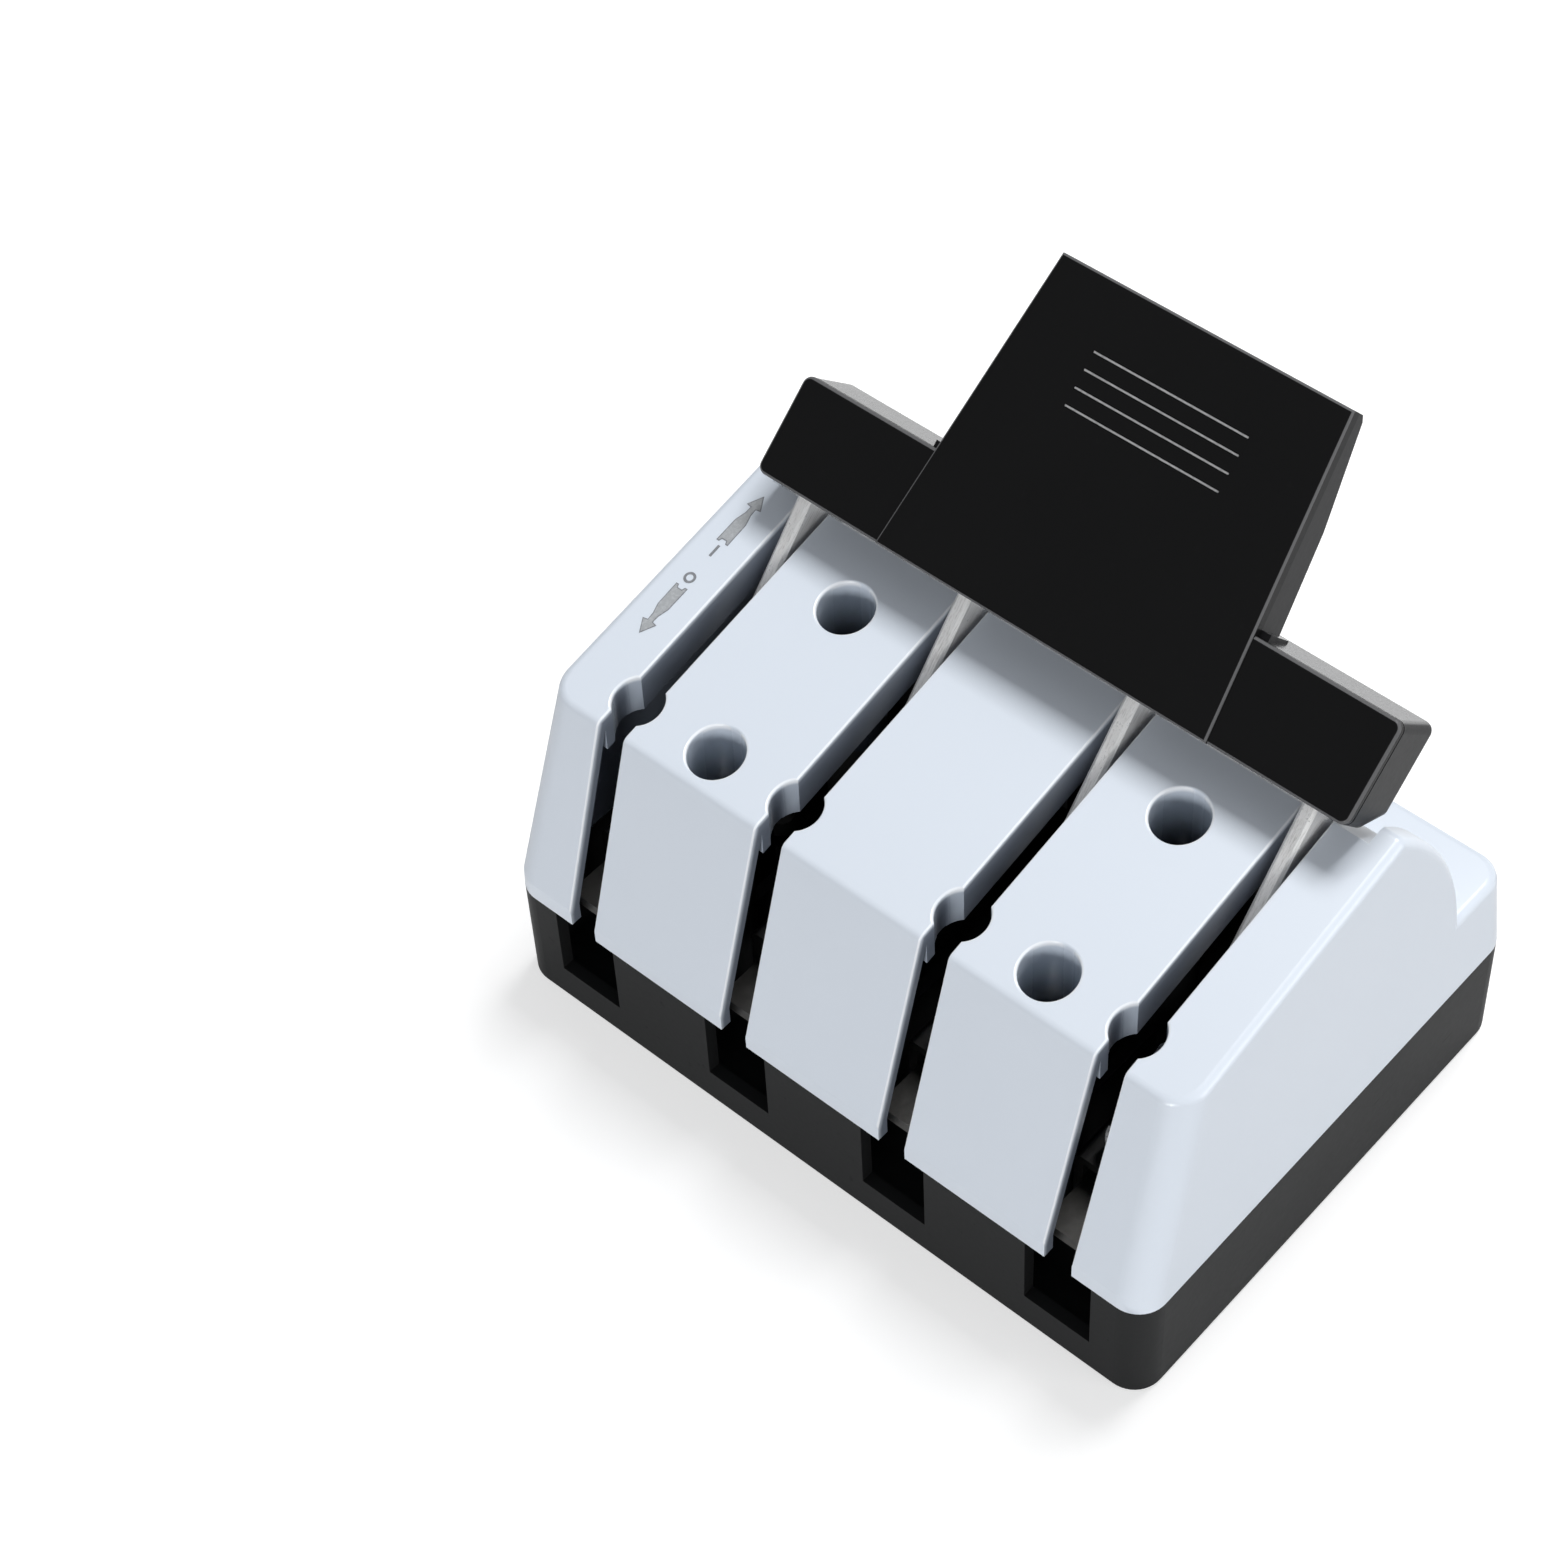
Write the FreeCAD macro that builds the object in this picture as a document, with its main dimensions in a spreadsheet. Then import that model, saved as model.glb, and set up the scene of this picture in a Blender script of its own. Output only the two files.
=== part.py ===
"""A four-pole knife disconnect switch: a dark moulded base, a pale slotted cover,
four copper blades on hinge contacts, four spring jaws, clamp terminals and one
wide handle. Millimetres, +X across the poles, -Y to the load terminals, +Z up.
The origin is the middle of the base's underside."""

import FreeCAD, Part
import math
import os
import re

import Sketcher

doc = FreeCAD.newDocument("KnifeSwitch")
sheet = doc.addObject("Spreadsheet::Sheet", "Sizes")

# Sizes that are set by themselves, one cell each.
SIZES = {
    # poles, and the chain of places from the front of the base to its back
    "pole_pitch": 37.5,
    "side_margin": 18.75,
    "load_inset": 20.1,
    "load_to_pivot": 15.3,
    "jaw_setback": 16.7,
    "jaw_to_line": 22.2,
    "line_inset": 14.2,
    # base
    "base_top": 25.9,
    "base_corner": 6.0,
    "base_wall": 2.6,
    "base_foot_round": 0.8,
    "floor_top": 7.0,
    "rib_thick": 2.4,
    "entry_width": 14.6,
    "entry_rise": 1.6,
    "entry_round": 1.5,
    "plinth_width": 17.0,
    "plinth_wall": 2.4,
    "plinth_roof": 5.9,
    "mount_radius": 2.6,
    "mount_boss": 5.6,
    "mount_boss_rise": 2.0,
    # contacts
    "strip_thick": 2.5,
    "bend_round": 2.0,
    "tongue_rise": 4.5,
    "tongue_width": 12.0,
    "end_gap": 0.9,
    "blade_thick": 3.0,
    "side_gap": 0.1,
    "hinge_depth": 16.0,
    "ear_radius": 7.0,
    "pivot_rise": 12.6,
    "pivot_radius": 2.5,
    "pin_gap": 0.05,
    "bolt_head_rise": 2.2,
    "washer_thick": 0.8,
    "nut_thick": 3.0,
    "nut_radius": 4.5,
    "bolt_tail": 1.0,
    "jaw_depth": 16.0,
    "jaw_rise": 12.0,
    "flare_rise": 3.6,
    "flare_out": 1.8,
    "clip_thick": 0.8,
    "clip_width": 6.0,
    "clip_drop": 5.0,
    # terminal clamps and their screws
    "clamp_depth": 11.0,
    "clamp_wall": 2.0,
    "clamp_gap": 0.25,
    "clamp_low_gap": 2.4,
    "clamp_rise": 6.0,
    "clamp_screw": 4.0,
    "clamp_head": 4.7,
    "clamp_head_gap": 0.8,
    "clamp_head_rise": 5.2,
    "cross_width": 1.2,
    "cross_depth": 1.8,
    "thread_gap": 0.05,
    # screws from under the plinths into the contacts
    "fix_screw": 2.4,
    "fix_head": 4.2,
    "fix_head_rise": 2.8,
    # cover
    "cover_wall": 2.4,
    "skirt_rise": 4.1,
    "front_rise": 46.7,
    "lean_angle": 16.48,
    "ridge_angle": 48.85,
    "ridge_proud": 3.1,
    "shelf_proud": 1.0,
    "shelf_lean": 1.9,
    "side_draft": 3.32,
    "cover_round": 1.8,
    "recess_gap": 1.5,
    "slot_width": 6.0,
    "slot_past": 4.5,
    "slot_rib": 1.8,
    "slot_rib_drop": 7.8,
    "slot_rib_front": 1.5,
    "slot_rib_back": 6.0,
    "rim_round": 0.45,
    "keyhole_radius": 4.95,
    "well_radius": 5.4,
    "well_wall": 1.8,
    "well_spread": 35.3,
    "well_seat": 4.0,
    "post_rise": 24.1,
    "post_radius": 5.0,
    "cover_screw": 1.95,
    "cover_screw_head": 3.9,
    "cover_screw_head_rise": 3.0,
    "cover_screw_length": 18.0,
    "screw_gap": 0.15,
    # handle, in its own plane: reach from the pivot and rise above it
    "rest_angle": 41.3,
    "swing_gap": 0.5,
    "bar_reach": 53.7,
    "bar_height": 19.8,
    "bar_overhang": 9.0,
    "bar_back": 3.5,
    "bar_front": 19.5,
    "bar_flat": 7.9,
    "bar_heel": 3.3,
    "bar_crown": 1.3,
    "plate_thick": 2.0,
    "shell_wall": 2.2,
    "bar_round": 1.8,
    "plate_round": 0.8,
    "seam_bevel": 0.4,
    "grip_round": 0.6,
    "plate_skin": 0.6,
    "grip_proud": 0.7,
    "grip_reach": 60.5,
    "grip_foot": 73.2,
    "grip_tip": 62.0,
    "grip_knee": 40.0,
    "grip_knee_rise": 10.2,
    "grip_tip_rise": 14.7,
    "grip_tip_bevel": 1.2,
    "grip_foot_rise": 9.2,
    "grip_room": 8.0,
    "line_length": 33.3,
    "line_width": 0.7,
    "line_depth": 0.3,
    "line_pitch": 3.47,
    "line_low": 37.65,
    # blades and what holds them in the bar
    "blade_width": 15.0,
    "blade_tilt": 7.6,
    "blade_edge": 0.6,
    "tang_low": -1.5,
    "tang_width": 7.0,
    "tang_length": 12.0,
    "rod_radius": 2.0,
    "rod_reach": 7.0,
    "rod_overhang": 4.25,
    "rod_gap": 0.1,
    "handle_screw": 1.5,
    "handle_screw_head": 2.9,
    "handle_screw_head_rise": 1.8,
    "handle_screw_sink": 0.6,
    "bar_screw_reach": 13.8,
    "grip_screw_reach": 8.0,
    "grip_screw_x": 18.75,
}

# Sizes and places that follow from the ones above.
FOLLOWING = {
    "base_width": "3 * pole_pitch + 2 * side_margin",
    "base_depth": "load_inset + load_to_pivot + bar_reach - jaw_setback + jaw_to_line + line_inset",
    "front": "-base_depth / 2",
    "back": "base_depth / 2",
    "side": "base_width / 2",
    "load_y": "front + load_inset",
    "pivot_y": "load_y + load_to_pivot",
    "jaw_y": "pivot_y + bar_reach - jaw_setback",
    "line_y": "jaw_y + jaw_to_line",
    "well_front_y": "load_y",
    "well_rear_y": "load_y + well_spread",
    "entry_sill": "floor_top + entry_rise",
    "tongue_top": "base_top + tongue_rise",
    "plinth_top": "tongue_top - strip_thick",
    "plinth_core_top": "plinth_top - plinth_roof",
    "pivot_z": "tongue_top + pivot_rise",
    "ear_inner": "blade_thick / 2 + side_gap",
    "ear_outer": "ear_inner + strip_thick",
    "hinge_front": "pivot_y - hinge_depth / 2",
    "hinge_back": "pivot_y + hinge_depth / 2",
    "jaw_front": "jaw_y - jaw_depth / 2",
    "jaw_back": "jaw_y + jaw_depth / 2",
    "jaw_top": "pivot_z + jaw_rise",
    "clip_outer": "ear_outer + clip_thick",
    "clip_top": "jaw_top - clip_drop",
    "clamp_inner": "tongue_width / 2 + clamp_gap",
    "clamp_outer": "clamp_inner + clamp_wall",
    "clamp_bottom": "floor_top + clamp_low_gap",
    "clamp_top": "tongue_top + clamp_rise",
    "clamp_head_low": "clamp_top + clamp_head_gap",
    "clamp_head_top": "clamp_head_low + clamp_head_rise",
    "skirt_z": "base_top + skirt_rise",
    "crease_z": "base_top + front_rise",
    "crease_y": "front + (crease_z - skirt_z) * tan(lean_angle)",
    "hood_radius": "bar_reach - swing_gap",
    "ridge_y": "pivot_y + cheek_radius * cos(ridge_angle)",
    "ridge_z": "pivot_z + cheek_radius * sin(ridge_angle)",
    "slope_rise": "(ridge_z - crease_z) / (ridge_y - crease_y)",
    "slope_run": "1 / sqrt(1 + slope_rise * slope_rise)",
    "cheek_radius": "hood_radius + ridge_proud",
    "shelf_y": "pivot_y + hood_radius + shelf_proud",
    "shelf_z": "pivot_z + bar_back - swing_gap",
    "shelf_back": "back - shelf_lean",
    "rear_top": "back - shelf_lean * (ridge_z - base_top) / (shelf_z - base_top)",
    "recess_side": "bar_length / 2 + recess_gap",
    "slot_back": "line_y + slot_past",
    "above_all": "crease_z + bar_reach",
    "post_top": "base_top + post_rise",
    "well_floor": "post_top + well_seat",
    "bar_length": "3 * pole_pitch + 2 * bar_overhang",
    "bar_top": "bar_reach + bar_height",
    "heel_reach": "bar_reach + bar_heel",
    "seam": "bar_front - plate_thick",
    "grip_front": "bar_front + grip_proud",
    "grip_end": "bar_reach + grip_reach",
    "knee_reach": "bar_reach + grip_knee",
    "rod_length": "3 * pole_pitch + 2 * rod_overhang",
    "tang_foot": "bar_reach / cos(blade_tilt)",
    "tang_end": "tang_foot + tang_length",
    "bar_screw_seat": "bar_back + handle_screw_head_rise + handle_screw_sink",
    "grip_screw_seat": "grip_foot_rise + handle_screw_head_rise + 2 * handle_screw_sink + bar_crown",
}

for row, (alias, size) in enumerate(SIZES.items(), start=1):
    sheet.set(f"A{row}", str(size))
    sheet.setAlias(f"A{row}", alias)
doc.recompute()

POLES = (-1.5, -0.5, 0.5, 1.5)
WELL_SIDES = ("-pole_pitch", "pole_pitch")
WORD = re.compile(r"\b(?!(?:sin|cos|tan|sqrt)\b)[a-z]\w*")


def link(text):
    """The formula with each name tied to its cell, or to the formula that it follows from."""
    def tie(word):
        name = word.group(0)
        if name in FOLLOWING:
            return "(" + link(FOLLOWING[name]) + ")"
        return "Sizes." + name
    return WORD.sub(tie, text)


def pole_x(place):
    """Where a pole stands across the base."""
    return f"(pole_pitch * {place})"


def blade_point(distance, side):
    """A point so far along the blade's middle line and so far to its side."""
    return (f"({distance}) * cos(blade_tilt) - ({side}) * sin(blade_tilt)",
            f"({distance}) * sin(blade_tilt) + ({side}) * cos(blade_tilt)")


def grip_half(reach):
    """Half the grip's width at a distance from the pivot."""
    return f"(grip_foot / 2 - (grip_foot - grip_tip) / 2 * (({reach}) - bar_reach) / grip_reach)"


ROD_PLACE = blade_point("tang_foot + rod_reach", "tang_low + tang_width / 2")
BAR_SCREWS = [(across, "bar_reach + bar_screw_reach") for across in ("-pole_pitch", "0", "pole_pitch")]
GRIP_SCREWS = [(across, "bar_top + grip_screw_reach") for across in ("-grip_screw_x", "grip_screw_x")]


def new_body(name):
    """An empty body, named as the piece it becomes."""
    body = doc.addObject("PartDesign::Body", name)
    body.Label = name
    return body


def new_sketch(body, plane, lift):
    """A sketch on one of the body's own planes, lifted along its normal."""
    face = next(item for item in body.Origin.OriginFeatures if item.Role == plane)
    sketch = body.newObject("Sketcher::SketchObject", body.Name + "_sketch")
    sketch.AttachmentSupport = (face, [""])
    sketch.MapMode = "FlatFace"
    sketch.setExpression("AttachmentOffset.Base.z", link(lift))
    return sketch


def hold(sketch, kind, geometry, point, start, formula):
    """One distance from the origin, tied to its formula."""
    number = sketch.addConstraint(Sketcher.Constraint(kind, -1, 1, geometry, point, start))
    sketch.setExpression(f"Constraints[{number}]", link(formula))


def draw_outline(sketch, corners):
    """A closed outline of straight sides through corners given as formulas."""
    first = sketch.GeometryCount
    count = len(corners)
    turn = [2 * math.pi * step / count for step in range(count + 1)]
    ring = [FreeCAD.Vector(math.cos(angle), math.sin(angle), 0) for angle in turn]
    for step in range(count):
        sketch.addGeometry(Part.LineSegment(ring[step], ring[step + 1]))
    for step in range(count):
        after = first + (step + 1) % count
        sketch.addConstraint(Sketcher.Constraint("Coincident", first + step, 2, after, 1))
    for step, (across, along) in enumerate(corners):
        hold(sketch, "DistanceX", first + step, 1, ring[step].x, across)
        hold(sketch, "DistanceY", first + step, 1, ring[step].y, along)


def draw_rectangle(sketch, left, right, low, high):
    """A rectangle between four formulas."""
    draw_outline(sketch, [(left, low), (right, low), (right, high), (left, high)])


def draw_circle(sketch, across, along, radius):
    """A circle with its centre and radius given as formulas."""
    number = sketch.addGeometry(Part.Circle(FreeCAD.Vector(1, 1, 0), FreeCAD.Vector(0, 0, 1), 1))
    hold(sketch, "DistanceX", number, 3, 1, across)
    hold(sketch, "DistanceY", number, 3, 1, along)
    size = sketch.addConstraint(Sketcher.Constraint("Radius", number, 1))
    sketch.setExpression(f"Constraints[{size}]", link(radius))


def draw_circles(sketch, spots, radius):
    """One circle at each spot."""
    for across, along in spots:
        draw_circle(sketch, across, along, radius)


def extrude(body, kind, plane, low, high, draw):
    """A pad or pocket of what draw draws, between two places along the plane's axis."""
    cutting = kind == "Pocket"
    backward = plane == "XZ_Plane"
    start = high if cutting != backward else low
    sign = "-" if backward else ""
    sketch = new_sketch(body, plane, f"{sign}({start})")
    draw(sketch)
    feature = body.newObject("PartDesign::" + kind, body.Name + "_" + kind.lower())
    feature.Profile = sketch
    feature.setExpression("Length", link(f"({high}) - ({low})"))
    doc.recompute()


def pad(body, plane, low, high, draw):
    """Adds what draw draws, from low to high."""
    extrude(body, "Pad", plane, low, high, draw)


def pocket(body, plane, low, high, draw):
    """Cuts what draw draws, from low to high."""
    extrude(body, "Pocket", plane, low, high, draw)


def run_of(edge, axis):
    """How far an edge runs along one axis, 0, 1 or 2, for each millimetre of its length."""
    first = edge.Vertexes[0].Point
    last = edge.Vertexes[-1].Point
    return abs(last[axis] - first[axis]) / max(edge.Length, 1e-6)


def dress_edges(body, kind, size_name, radius, wanted):
    """Rounds or bevels the edges that pass a test on their middle and the body's bounds."""
    tip = body.Tip
    bounds = tip.Shape.BoundBox
    names = []
    for number, edge in enumerate(tip.Shape.Edges, start=1):
        if wanted(edge, edge.CenterOfMass, bounds):
            names.append(f"Edge{number}")
    feature = body.newObject("PartDesign::" + kind, body.Name + "_" + kind.lower())
    feature.Base = (tip, names)
    feature.setExpression(size_name, link(radius))
    doc.recompute()


def round_edges(body, radius, wanted):
    """Rounds the wanted edges."""
    dress_edges(body, "Fillet", "Radius", radius, wanted)


def bevel_edges(body, size, wanted):
    """Bevels the wanted edges."""
    dress_edges(body, "Chamfer", "Size", size, wanted)


def box(name, low, high):
    """A box between two corners given as formulas."""
    solid = doc.addObject("Part::Box", name)
    sides = (("Length", "x"), ("Width", "y"), ("Height", "z"))
    for (side, axis), near, far in zip(sides, low, high):
        solid.setExpression(side, link(f"({far}) - ({near})"))
        solid.setExpression(f"Placement.Base.{axis}", link(near))
    return solid


def put(solid, place, along):
    """Stands a turned solid at a place, with its axis along +X or +Z."""
    if along == "x":
        solid.Placement.Rotation = FreeCAD.Rotation(FreeCAD.Vector(0, 1, 0), 90)
    for axis, formula in zip("xyz", place):
        solid.setExpression(f"Placement.Base.{axis}", link(formula))
    return solid


def rod(name, radius, place, length, along="z"):
    """A cylinder that starts at a place and runs along +X or +Z."""
    solid = doc.addObject("Part::Cylinder", name)
    solid.setExpression("Radius", link(radius))
    solid.setExpression("Height", link(length))
    return put(solid, place, along)


def hexagon(name, radius, place, length, along="z"):
    """A six-sided prism that starts at a place and runs along +X or +Z."""
    solid = doc.addObject("Part::Prism", name)
    solid.Polygon = 6
    solid.setExpression("Circumradius", link(radius))
    solid.setExpression("Height", link(length))
    return put(solid, place, along)


def fuse(name, solids):
    """One solid, or a group where the solids stand apart."""
    whole = doc.addObject("Part::MultiFuse", name)
    whole.Shapes = solids
    whole.Label = name
    return whole


def cut(name, whole, tool):
    """The whole less the tool."""
    rest = doc.addObject("Part::Cut", name)
    rest.Base = whole
    rest.Tool = tool
    rest.Label = name
    return rest


def common(name, one, other):
    """What two solids share."""
    shared = doc.addObject("Part::Common", name)
    shared.Base = one
    shared.Tool = other
    return shared


def swing(piece):
    """Turns a piece of the handle about the pivot, from closed to its rest angle."""
    piece.Placement.Rotation = FreeCAD.Rotation(FreeCAD.Vector(1, 0, 0), 1)
    piece.setExpression("Placement.Rotation.Angle", link("rest_angle"))
    piece.setExpression("Placement.Base.y", link("pivot_y"))
    piece.setExpression("Placement.Base.z", link("pivot_z"))
    return piece


def well_spots():
    """The four cover screws' places."""
    return [(across, along) for across in WELL_SIDES for along in ("well_front_y", "well_rear_y")]


def make_base():
    """The dark moulded tray: floor, walls, plinths, barriers, posts and wire entries."""
    body = new_body("base")
    pad(body, "XY_Plane", "0", "base_top", lambda s: draw_rectangle(s, "-side", "side", "front", "back"))
    round_edges(body, "base_corner", lambda edge, middle, bounds: run_of(edge, 2) > 0.99)
    round_edges(body, "base_foot_round", lambda edge, middle, bounds: middle.z < bounds.ZMin + 0.01)

    def bays(sketch):
        stops = ["-side + base_wall", "-pole_pitch - rib_thick / 2", "-pole_pitch + rib_thick / 2",
                 "-rib_thick / 2", "rib_thick / 2", "pole_pitch - rib_thick / 2",
                 "pole_pitch + rib_thick / 2", "side - base_wall"]
        for left, right in zip(stops[0::2], stops[1::2]):
            draw_rectangle(sketch, left, right, "front + base_wall", "back - base_wall")

    def at_poles(width, spans):
        def draw(sketch):
            for place in POLES:
                left = f"{pole_x(place)} - ({width}) / 2"
                right = f"{pole_x(place)} + ({width}) / 2"
                for low, high in spans:
                    draw_rectangle(sketch, left, right, low, high)
        return draw

    pocket(body, "XY_Plane", "floor_top", "base_top", bays)
    pad(body, "XY_Plane", "floor_top", "plinth_top",
        at_poles("plinth_width", [("hinge_front", "hinge_back"), ("jaw_front", "jaw_back")]))
    pad(body, "XY_Plane", "floor_top", "post_top", lambda s: draw_circles(s, well_spots(), "post_radius"))
    pocket(body, "XY_Plane", "well_floor - cover_screw_length - 1", "post_top",
           lambda s: draw_circles(s, well_spots(), "cover_screw + thread_gap"))
    entries = at_poles("entry_width", [("entry_sill", "base_top + 1")])
    pocket(body, "XZ_Plane", "front - 1", "front + base_wall", entries)
    pocket(body, "XZ_Plane", "back - base_wall", "back + 1", entries)
    pocket(body, "XY_Plane", "0", "plinth_core_top",
           at_poles("plinth_width - 2 * plinth_wall",
                    [("hinge_front + plinth_wall", "hinge_back - plinth_wall"),
                     ("jaw_front + plinth_wall", "jaw_back - plinth_wall")]))
    contact_spots = [(pole_x(place), along) for place in POLES for along in ("pivot_y", "jaw_y")]
    pocket(body, "XY_Plane", "plinth_core_top", "plinth_top",
           lambda s: draw_circles(s, contact_spots, "fix_screw + screw_gap"))
    pocket(body, "XY_Plane", "plinth_top - clip_thick", "plinth_top",
           at_poles("2 * clip_outer", [("jaw_y - clip_width / 2", "jaw_y + clip_width / 2")]))
    mounting = [(pole_x(POLES[0]), "0"), (pole_x(POLES[-1]), "0")]
    pad(body, "XY_Plane", "floor_top", "floor_top + mount_boss_rise",
        lambda s: draw_circles(s, mounting, "mount_boss"))
    pocket(body, "XY_Plane", "0", "floor_top + mount_boss_rise",
           lambda s: draw_circles(s, mounting, "mount_radius"))
    return body


def draw_cover_side(sketch, inset, floor):
    """The cover's side outline, moved in by a wall: skirt, front, slope, and up from the back."""
    front_run = f"({inset}) / cos(lean_angle)"
    top_drop = f"({inset}) / slope_run"
    crease_run = f"(({front_run} - {top_drop} * tan(lean_angle)) / (1 - slope_rise * tan(lean_angle)))"
    draw_outline(sketch, [
        (f"front + ({inset})", floor),
        (f"front + ({inset})", "skirt_z"),
        (f"crease_y + {crease_run}", f"crease_z + {crease_run} * slope_rise - {top_drop}"),
        ("ridge_y", f"ridge_z - {top_drop}"),
        (f"rear_top - ({inset})", f"ridge_z - {top_drop}"),
        (f"back - ({inset})", floor),
    ])


def cover_form(name, inset, floor):
    """The cover's closed form, whole or moved in by a wall, with drafted sides."""
    body = new_body(name)
    half = f"(side - ({inset}))"
    tall = "(ridge_z + 5 - base_top)"
    pad(body, "YZ_Plane", "-" + half, half, lambda s: draw_cover_side(s, inset, floor))

    def draft(sketch):
        for sign in ("-", ""):
            foot = f"{sign}{half}"
            head = f"{sign}({half} - {tall} * tan(side_draft))"
            out = f"{sign}({half} + 5)"
            high = f"base_top + {tall}"
            draw_outline(sketch, [(foot, "base_top"), (head, high), (out, high), (out, "base_top")])

    pocket(body, "XZ_Plane", "front - 5", "back + 5", draft)
    return body


def behind_ridge(name, radius, shelf):
    """What the cover keeps: all before the pivot, the hood's drum behind it, and all under the shelf."""
    drum = rod(name + "_drum", radius, ("-side", "pivot_y", "pivot_z"), "2 * side", "x")
    ahead = box(name + "_ahead", ("-side", "front - 5", "0"), ("side", "pivot_y", "above_all"))
    below = box(name + "_below", ("-side", "pivot_y", "0"), ("side", "back + 5", shelf))
    return fuse(name, [drum, ahead, below])


def dressed(name, solid):
    """A body that starts from a solid, so that its edges can be rounded or bevelled."""
    body = new_body(name)
    body.BaseFeature = solid
    doc.recompute()
    return body


def cover_shell():
    """The cover's outside: rounded form, with the hood sunk between the cheeks."""
    outer = cover_form("cover_outer", "0", "base_top")

    def corner(edge, middle, bounds):
        depth = bounds.YMax - bounds.YMin
        at_end = middle.y < bounds.YMin + depth / 4 or middle.y > bounds.YMax - depth / 20
        return run_of(edge, 2) > 0.9 and at_end

    def upper(edge, middle, bounds):
        low = middle.z < bounds.ZMin + (bounds.ZMax - bounds.ZMin) / 4
        ahead_of_back = middle.y < bounds.YMax - (bounds.YMax - bounds.YMin) / 20
        hood_foot = run_of(edge, 0) > 0.99 and middle.z < bounds.Center.z and ahead_of_back
        return not (low or hood_foot or run_of(edge, 2) > 0.9)

    round_edges(outer, "base_corner", corner)
    cheeked = common("cover_cheeked", outer, behind_ridge("cover_reach", "cheek_radius", "shelf_z"))
    rounded = dressed("cover_rounded", cheeked)
    round_edges(rounded, "cover_round", upper)
    block = box("recess_block", ("-recess_side", "pivot_y", "shelf_z"), ("recess_side", "back + 5", "above_all"))
    drum = rod("recess_drum", "hood_radius", ("-recess_side", "pivot_y", "pivot_z"), "2 * recess_side", "x")
    return cut("cover_recessed", rounded, cut("recess", block, drum))


def cover_hollow():
    """The room inside the cover: its form moved in by the wall, behind the hood and under the shelf."""
    room = cover_form("cover_room", "cover_wall", "base_top - 1")
    return common("cover_hollow", room,
                  behind_ridge("room_reach", "hood_radius - cover_wall", "shelf_z - cover_wall"))


def cover_ribs():
    """Deep ribs along both sides of each slot, under the slope."""
    body = new_body("cover_ribs")
    first = "(crease_y + slot_rib_front)"
    last = "(ridge_y - slot_rib_back)"

    def top_at(place):
        return f"(crease_z + ({place} - crease_y) * slope_rise - cover_wall / 2)"

    def outline(sketch):
        draw_outline(sketch, [
            (first, f"{top_at(first)} - slot_rib_drop"), (first, top_at(first)),
            (last, top_at(last)), (last, f"{top_at(last)} - slot_rib_drop")])

    for place in POLES:
        pad(body, "YZ_Plane", f"{pole_x(place)} - slot_width / 2 - slot_rib",
            f"{pole_x(place)} + slot_width / 2 + slot_rib", outline)
    return body


def rim_test(shape):
    """A test for the edges that the slots, keyholes and wells cut into the slope and the front."""
    rims = []
    for face in shape.Faces:
        normal = face.normalAt(0, 0)
        slope = normal.z > 0.9 and normal.y < -0.1
        front = normal.y < -0.9 and normal.z > 0.1
        if isinstance(face.Surface, Part.Plane) and (slope or front):
            rims.extend(edge.hashCode() for edge in face.Edges)

    def on_rim(edge, middle, bounds):
        inner = edge.hashCode() in rims and abs(middle.x) < bounds.XMax * 0.85
        return inner and (isinstance(edge.Curve, Part.Ellipse) or run_of(edge, 0) < 0.001)

    return on_rim


def make_cover():
    """The pale cover: shell, ribs and screw wells, with its slots, keyholes and bores cut last."""
    shell = cover_shell()
    wells = [rod("well", "well_radius + well_wall", (across, along, "post_top"), "above_all - post_top")
             for across, along in well_spots()]
    solids = [cut("cover_walls", shell, cover_hollow()), cover_ribs(),
              common("cover_wells", shell, fuse("well_rods", wells))]
    cuts = []
    for place in POLES:
        cuts.append(box("slot", (f"{pole_x(place)} - slot_width / 2", "front - 5", "base_top - 2"),
                        (f"{pole_x(place)} + slot_width / 2", "slot_back", "above_all")))
        for along in ("load_y", "line_y"):
            cuts.append(rod("keyhole", "keyhole_radius", (pole_x(place), along, "clamp_head_low"),
                            "above_all - clamp_head_low"))
    for across, along in well_spots():
        cuts.append(rod("well_bore", "well_radius", (across, along, "well_floor"), "above_all - well_floor"))
        cuts.append(rod("well_hole", "cover_screw + screw_gap", (across, along, "post_top - 1"),
                        "well_floor - post_top + 2"))
    body = dressed("cover", cut("cover_cut", fuse("cover_body", solids), fuse("cover_cuts", cuts)))
    round_edges(body, "rim_round", rim_test(body.Tip.Shape))
    return body


def contact_body(name, place, low, high, top, tongue):
    """A folded strip contact: two upright leaves on a strip, and the tongue that leads to its clamp."""
    body = new_body(name)
    x = pole_x(place)

    def channel(sketch):
        draw_outline(sketch, [
            (f"{x} - ear_outer", "plinth_top"), (f"{x} + ear_outer", "plinth_top"),
            (f"{x} + ear_outer", top), (f"{x} + ear_inner", top),
            (f"{x} + ear_inner", "tongue_top"), (f"{x} - ear_inner", "tongue_top"),
            (f"{x} - ear_inner", top), (f"{x} - ear_outer", top)])

    pad(body, "XZ_Plane", low, high, channel)
    round_edges(body, "bend_round",
                lambda edge, middle, bounds: run_of(edge, 1) > 0.99 and middle.z < bounds.ZMin + 0.01)
    pad(body, "XY_Plane", "plinth_top", "tongue_top", lambda s: draw_rectangle(
        s, f"{x} - tongue_width / 2", f"{x} + tongue_width / 2", *tongue))
    return body


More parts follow.
